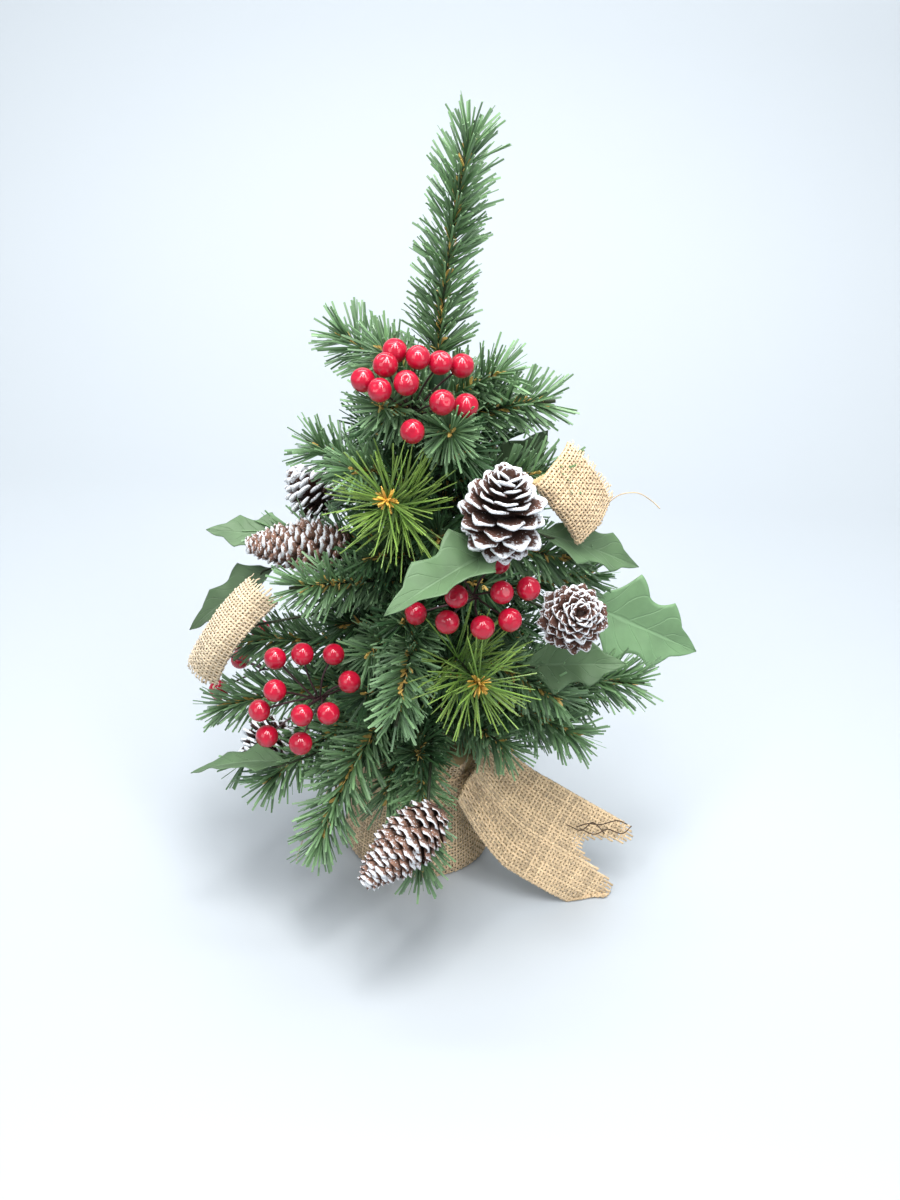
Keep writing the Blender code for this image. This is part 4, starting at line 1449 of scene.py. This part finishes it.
class TREE_OT_burlap_base(Operator):
    """Weave the burlap over the pot, its neck band and its knot"""

    bl_idname = "tree.burlap_base"
    bl_label = "Burlap base"

    def execute(self, context):
        settings = context.scene.tree_burlap
        pitch, cover = settings.pitch, settings.cover
        jute = jute_thread("Natural jute yarn", tuple(settings.jute))
        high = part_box("base_wrap")[1]
        band_low, band_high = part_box("wrap_tie")
        bottom = high.x - 1.2 * MM
        neck = band_high.x - 3.2 * MM
        profile = [
            (bottom - 1.2 * MM, 0.9 * MM),
            (bottom, 6 * MM),
            (neck + 1.2 * MM, band_low.z - 5 * MM),
            (neck, band_low.z + 1 * MM),
            (neck, band_high.z - 1 * MM),
            (neck + 4.4 * MM, high.z - 0.8 * MM),
        ]
        turned, around, up = profile_surface(profile)
        random = np.random.default_rng(3)

        def gathered(u, v):
            depth = np.interp(v / up, [0, 0.3, 0.7, 1.0], [0.0, 0.3, 1.1, 1.8]) * MM
            return turned(u, v, depth)

        threads = woven_threads(gathered, around, up, pitch, everywhere, seed=1)
        wrap = weave_object("burlap_wrap", threads, jute, pitch, cover, sides=4)
        mount(wrap, TRUNK, "burlap", "base_wrap")
        disc = woven_threads(
            lambda u, v: ((u - bottom, v - bottom, 0.85 * MM), Vector((0, 0, -1))),
            2 * bottom,
            2 * bottom,
            pitch,
            lambda u, v: (u - bottom) ** 2 + (v - bottom) ** 2 < (bottom - 1.5 * MM) ** 2,
            seed=2,
        )
        under = weave_object("burlap_underside", disc, jute, pitch, cover)
        mount(under, TRUNK, "burlap")
        # A second layer of jute behind the yarns, partly real cloth and partly painted shade: it is darker
        # than the yarns so that the gaps between the threads read as shaded.
        lining = plain_material("Inner jute layer in painted shade", "#ae966c", 0.95, scale=500, spread=0.08)
        shape = bmesh.new()
        rings = []
        for radius, height in profile + [(9 * MM, profile[-1][1] - 7 * MM)]:
            ring = [
                shape.verts.new(((radius - 0.9 * MM) * cos(a), (radius - 0.9 * MM) * sin(a), height))
                for a in np.linspace(0, 2 * pi, LINING_SIDES, endpoint=False)
            ]
            rings.append(ring)
        for first, second in zip(rings, rings[1:]):
            for i in range(LINING_SIDES):
                j = (i + 1) % LINING_SIDES
                shape.faces.new((first[i], first[j], second[j], second[i]))
        shape.faces.new(reversed(rings[0]))
        shade_darkened_inner = new_object("burlap_lining", closed_shape("burlap_lining", shape), lining)
        thick = shade_darkened_inner.modifiers.new("Cloth", "SOLIDIFY")
        thick.thickness = 0.3 * MM
        thick.offset = -1
        apply_modifiers(shade_darkened_inner)
        mount(shade_darkened_inner, TRUNK, "burlap")
        band_profile = [
            (neck + 1.0 * MM, band_low.z),
            (band_high.x - 0.9 * MM, band_low.z + 2 * MM),
            (band_high.x - 0.7 * MM, (band_low.z + band_high.z) / 2),
            (band_high.x - 0.9 * MM, band_high.z - 2 * MM),
            (neck + 1.0 * MM, band_high.z),
        ]
        ringed, band_around, band_up = profile_surface(band_profile)
        threads = woven_threads(
            lambda u, v: ringed(u, v, 0.35 * MM), band_around, band_up, pitch, everywhere, seed=4
        )
        band = weave_object("burlap_band", threads, jute, pitch, cover)
        mount(band, TRUNK, "burlap", "wrap_tie")
        self.weave_knot(jute, pitch, cover)
        return {"FINISHED"}

    def weave_knot(self, jute, pitch, cover):
        """The knot: ribbon drawn over itself, deeply creased toward the band."""
        low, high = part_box("tie_knot")
        middle = (low + high) / 2
        outward = Vector((middle.x, middle.y, 0)).normalized()
        sideways = Vector((0, 0, 1)).cross(outward)
        size = (high - low) / 2
        tall, wide, deep = size.z, 8.6 * MM, 6.6 * MM

        def surface(u, v):
            turn_angle = u / (2 * pi * tall) * 2 * pi
            lift = (v / (2 * wide) - 0.5) * pi * 0.94
            crease = 1 - 0.10 * (1 + cos(lift * 7 + 2 * sin(turn_angle))) * cos(lift)
            ring = cos(lift) * crease
            point = (
                middle
                + outward * (ring * cos(turn_angle) * deep)
                + Vector((0, 0, 1)) * (ring * sin(turn_angle) * tall)
                + sideways * (sin(lift) * wide)
            )
            return tuple(point), (point - middle).normalized()

        threads = woven_threads(surface, 2 * pi * tall, 2 * wide, pitch * 0.9, everywhere, seed=5)
        knot = weave_object("burlap_knot", threads, jute, pitch * 0.9, cover)
        mount(knot, TRUNK, "burlap", "tie_knot")


class TREE_OT_ribbons(Operator):
    """Weave the ribbon tail and the frayed loops in the tree, with their stray fibres"""

    bl_idname = "tree.ribbons"
    bl_label = "Burlap ribbons"

    def execute(self, context):
        settings = context.scene.tree_burlap
        pitch, cover = settings.pitch, settings.cover
        jute = bpy.data.materials["Natural jute yarn"]
        pale = jute_thread("Pale jute yarn", linear("#cdb99a"), 0.15)
        self.weave_tail(jute, pitch, cover)
        wire = bpy.data.materials["Twisted wire"]
        for number, node in enumerate(LOOPS):
            matrix, length, width = sheet_frame(node, ABOVE_CROWN)
            bend, curl, share, folded = LOOP_SHAPES[node]
            fray = 6 * MM
            width *= share
            surface = strip_surface(matrix, length, radians(bend), width, curl, fold=0.35)
            total = length + folded
            threads = woven_threads(surface, total, width, pitch * 0.92, everywhere, fray, seed=30 + number)
            cloth = weave_object(node + "_cloth", threads, (pale, jute)[number], pitch * 0.92, cover)
            lining = bpy.data.materials["Inner jute layer in painted shade"]
            lined = node + "_lining"
            lining_object(lined, surface, total, width, everywhere, lining)
            mount(cloth, TRUNK, "burlap", node)
            cut_width, cut_length = cut_size(surface, total, width)
            stem = sweep(
                node + "_stem", [[foot_of(node), matrix @ Vector((length / 2, 0, 0))]], 0.8 * MM, wire
            )
            mount(stem, TRUNK, "wire")
        self.loose_fibres(jute)
        return {"FINISHED"}

    def loose_fibres(self, jute):
        """Single fibres that have worked out of the cloth: one long one, and some caught under the tips."""
        matrix, length, width = sheet_frame(LOOPS[1], ABOVE_CROWN)
        start = matrix @ Vector((length * 0.25, width * 0.4, 0))
        if start.x < (matrix @ Vector((length * 0.25, -width * 0.4, 0))).x:
            start = matrix @ Vector((length * 0.25, -width * 0.4, 0))
        turns = ((0, 0, 0), (6, -3, 7), (15, -4, 9), (23, -4, 5), (28, -5, 1))
        long_one = [smooth_path([start + Vector(turn) * MM for turn in turns])]
        mount(sweep("loose_fibre", long_one, 0.3 * MM, jute, 4), TRUNK, "burlap")
        random = np.random.default_rng(12)
        path = wire_path("skirt_left")
        caught = []
        for share in (0.3, 0.5, 0.75, 0.95):
            root = path[3].lerp(path[5], share) + Vector((-10 * MM, 0, -4 * MM))
            drop = random.uniform(16, 30) * MM
            sway = Vector((*random.uniform(-9, 3, 1), *random.uniform(-8, 4, 1), 0)) * MM
            points = [
                root, root + sway * 0.6 - Vector((0, 0, drop * 0.5)), root + sway - Vector((0, 0, drop))
            ]
            caught.append(smooth_path([Vector((p.x, p.y, max(p.z, 1.5 * MM))) for p in points]))
        mount(sweep("caught_fibres", caught, 0.28 * MM, jute, 4), "skirt_left", "burlap")

    def weave_tail(self, jute, pitch, cover):
        """The tail: drawn out over the knot, rippled, bitten out at its end, its upper lobe twisted up."""
        knot = sum(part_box("tie_knot"), Vector()) / 2
        matrix, length, width = sheet_frame("tie_tail", tuple(knot))
        over_knot = 15 * MM
        total = length + over_knot + 18 * MM
        half = width / 2
        width = width + 11 * MM
        down = 1 if matrix.to_3x3().col[1].z < 0 else -1

        def place(u, v):
            """u from the start over the knot, v from the upper edge; the lower side is fuller and hangs."""
            share = u / total
            gather = np.interp(share, [0, 0.14, 0.34, 1.0], [0.72, 0.84, 0.98, 1.0])
            y = (v - half) * gather * down
            low = max(0.0, v / width - 0.5)
            ripple = 3.0 * MM * max(0.0, 1 - share) ** 2 * sin(v / width * 14 + 1)
            arch = 7 * MM * sin(pi * min(1.0, share * 1.1)) - 5 * MM * share * (2 * v / width - 1) ** 2
            start = 9 * MM * max(0.0, 1 - u / (2 * over_knot)) ** 2
            lobe = 8 * MM * (max(0.0, share - 0.66) / 0.34) ** 2 * max(0.0, 1 - v / (0.42 * width))
            bulge = 16 * MM * low * sin(pi * min(1.0, share * 1.05))
            point = matrix @ Vector((u - over_knot, y, ripple + arch + start + lobe + bulge))
            lift = 15 * MM * max(0.0, 1 - u / (44 * MM)) ** 2
            return Vector((point.x, point.y, max(point.z + lift, 1.2 * MM)))

        def surface(u, v):
            point = place(u, v)
            ahead = place(u + 0.4 * MM, v) - point
            beside = place(u, v + 0.4 * MM) - point
            return tuple(point), ahead.cross(beside).normalized() * down

        def inside(u, v):
            share = v / width
            return 0 <= u < total - np.interp(share, TAIL_END_MARKS, TAIL_END_CUTS) * MM

        threads = woven_threads(surface, total, width, pitch, inside, seed=20, pulled=3.5 * MM)
        tail = weave_object("burlap_tail", threads, jute, pitch, cover * 1.1)
        mount(tail, TRUNK, "burlap", "tie_tail")
        cut_width, cut_length = cut_size(surface, total, width)
        lining = bpy.data.materials["Inner jute layer in painted shade"]

        def backed(u, v):
            """The inner layer stops short of the cut end."""
            return inside(u + 8 * MM, v)

        lining_object("tail_lining", surface, total, width, backed, lining)
        dark = plain_material("Dark twisted thread", "#4a3a2c", 0.9, spread=0.4)
        start = Vector(surface(total - 48 * MM, 0.30 * width)[0]) + Vector((0, -1, 1)) * MM
        turns = (
            ((0, 0, 1), (6, -3, 6), (14, -2, 5), (24, 0, 7), (31, 2, 3)),
            ((2, -2, 1), (10, -8, 2), (18, -5, 4), (27, -6, 2), (33, -2, 5)),
            ((-6, 0, 2), (2, -6, 3), (9, -3, 7), (16, -8, 3)),
        )
        paths = [smooth_path([start + Vector(turn) * MM for turn in each]) for each in turns]
        mount(sweep("dark_threads", paths, 0.4 * MM, dark, 4), TRUNK, "burlap")


# ---------------------------------------------------------------- plain pieces and the stage


class TREE_OT_frame_finishes(Operator):
    """Give the pot, plaster, trunk, tape and wires their finishes"""

    bl_idname = "tree.frame_finishes"
    bl_label = "Pot, trunk and wires"

    def execute(self, context):
        wire = plain_material("Twisted wire", "#2d3322", 0.45, metallic=0.6, scale=1400, depth=0.0002)
        finishes = {
            "base_cup": plain_material("Moulded pot plastic", "#1c2a20", 0.5, scale=700),
            "base_weight": plain_material(
                "Cast plaster", "#c9c4b8", 0.92, scale=160, depth=0.0004, spread=0.1
            ),
            "trunk": wire,
            "trunk_tape": plain_material("Waxed floral tape", "#1f3a22", 0.62, scale=260, depth=0.0003),
        }
        for name, obj in frame["nodes"].items():
            finish = wire if name.endswith("_wire") else finishes.get(name)
            if finish is not None:
                obj.data.materials.clear()
                obj.data.materials.append(finish)
        return {"FINISHED"}


def add_light(name, size, location, target, energy, colour=(1, 1, 1)):
    data = bpy.data.lights.new(name, "AREA")
    data.shape = "RECTANGLE"
    data.size, data.size_y = size
    data.energy = energy
    data.color = colour
    light = bpy.data.objects.new(name, data)
    light.location = location
    light.rotation_euler = (Vector(target) - Vector(location)).to_track_quat("-Z", "Y").to_euler()
    bpy.context.scene.collection.objects.link(light)


class TREE_OT_stage(Operator):
    """Set the pale sweep, the soft light and the camera"""

    bl_idname = "tree.stage"
    bl_label = "Stage"

    def execute(self, context):
        settings = context.scene.tree_stage
        scene = context.scene
        scene.view_settings.view_transform = "Standard"
        paper, _, shader = new_material("Seamless paper")
        shader.inputs["Base Color"].default_value = (*(c * FLOOR_SHARE for c in settings.backdrop), 1)
        shader.inputs["Roughness"].default_value = 0.6
        back, rise, radius = 1.1, 1.8, 0.5
        outline = [(-3.0, 0.0), (back - radius, 0.0)]
        outline += [
            (back - radius + radius * sin(a), radius - radius * cos(a))
            for a in np.linspace(0, pi / 2, 17)[1:]
        ]
        outline.append((back, rise))
        points = [(x, y, z) for x in (-3.0, 3.0) for y, z in outline]
        count = len(outline)
        faces = [(i, count + i, count + i + 1, i + 1) for i in range(count - 1)]
        sweep_mesh = new_mesh("paper_sweep", points, faces)
        sweep_mesh.shade_smooth()
        new_object("paper_sweep", sweep_mesh, paper)

        world = bpy.data.worlds.new("Bright room")
        world.use_nodes = True
        background = world.node_tree.nodes["Background"]
        background.inputs["Color"].default_value = (*linear("#e6f0fb"), 1)
        background.inputs["Strength"].default_value = 0.50
        scene.world = world
        for x in (-0.22, 0.02, 0.26):
            add_light("strip", (0.13, 0.9), (x, -0.36, 1.10), (0, 0, 0.2), 6.5)
        add_light("soft_top", (1.0, 1.0), (-0.1, 0.1, 1.5), (0, 0, 0.2), 3.5, (0.98, 0.99, 1.0))
        add_light("soft_left", (0.9, 0.9), (-1.0, -1.1, 0.8), (0, 0, 0.2), 7, (0.96, 0.98, 1.0))
        add_light("soft_right", (0.7, 0.9), (1.0, -1.0, 0.7), (0, 0, 0.2), 6, (0.98, 0.99, 1.0))
        add_light("back_wash", (2.4, 0.3), (0, 0.45, 1.4), (0, 1.1, 0.45), 24, (0.97, 0.99, 1.0))

        data = bpy.data.cameras.new("camera")
        data.sensor_width = 36
        data.lens = settings.lens
        camera = bpy.data.objects.new("camera", data)
        pitch, yaw, roll = radians(27), radians(0.5), radians(3)
        ahead = Vector((sin(yaw) * cos(pitch), cos(yaw) * cos(pitch), -sin(pitch)))
        level = Vector((cos(yaw), -sin(yaw), 0))
        upward = level.cross(ahead)
        right = level * cos(roll) + upward * sin(roll)
        top = upward * cos(roll) - level * sin(roll)
        camera.matrix_world = Matrix.Translation(
            (0.008, -0.640, 0.500)
        ) @ Matrix((right, top, -ahead)).transposed().to_4x4()
        scene.collection.objects.link(camera)
        scene.camera = camera
        return {"FINISHED"}


class TREE_PT_panel(Panel):
    """Lists the pieces of the tree in the order that they are built"""

    bl_label = "Tabletop tree"
    bl_idname = "TREE_PT_panel"
    bl_space_type = "VIEW_3D"
    bl_region_type = "UI"
    bl_category = "Tree"

    def draw(self, context):
        for operator in OPERATORS:
            self.layout.operator(operator.bl_idname)


OPERATORS = (
    TREE_OT_stage,
    TREE_OT_frame_finishes,
    TREE_OT_needles,
    TREE_OT_pine_picks,
    TREE_OT_cones,
    TREE_OT_berries,
    TREE_OT_leaves,
    TREE_OT_burlap_base,
    TREE_OT_ribbons,
)
SETTINGS = {
    "tree_needles": NeedleSettings,
    "tree_cones": ConeSettings,
    "tree_berries": BerrySettings,
    "tree_leaves": LeafSettings,
    "tree_burlap": BurlapSettings,
    "tree_stage": StageSettings,
}


def register():
    for name, group in SETTINGS.items():
        bpy.utils.register_class(group)
        setattr(bpy.types.Scene, name, PointerProperty(type=group))
    for cls in (*OPERATORS, TREE_PT_panel):
        bpy.utils.register_class(cls)


def unregister():
    for cls in reversed((*OPERATORS, TREE_PT_panel)):
        bpy.utils.unregister_class(cls)
    for name, group in SETTINGS.items():
        delattr(bpy.types.Scene, name)
        bpy.utils.unregister_class(group)


def main():
    for obj in list(bpy.data.objects):
        if obj.name in ("Cube", "Light", "Camera"):
            bpy.data.objects.remove(obj)
    register()
    for operator in OPERATORS:
        category, name = operator.bl_idname.split(".")
        getattr(getattr(bpy.ops, category), name)()


if __name__ == "__main__":
    main()
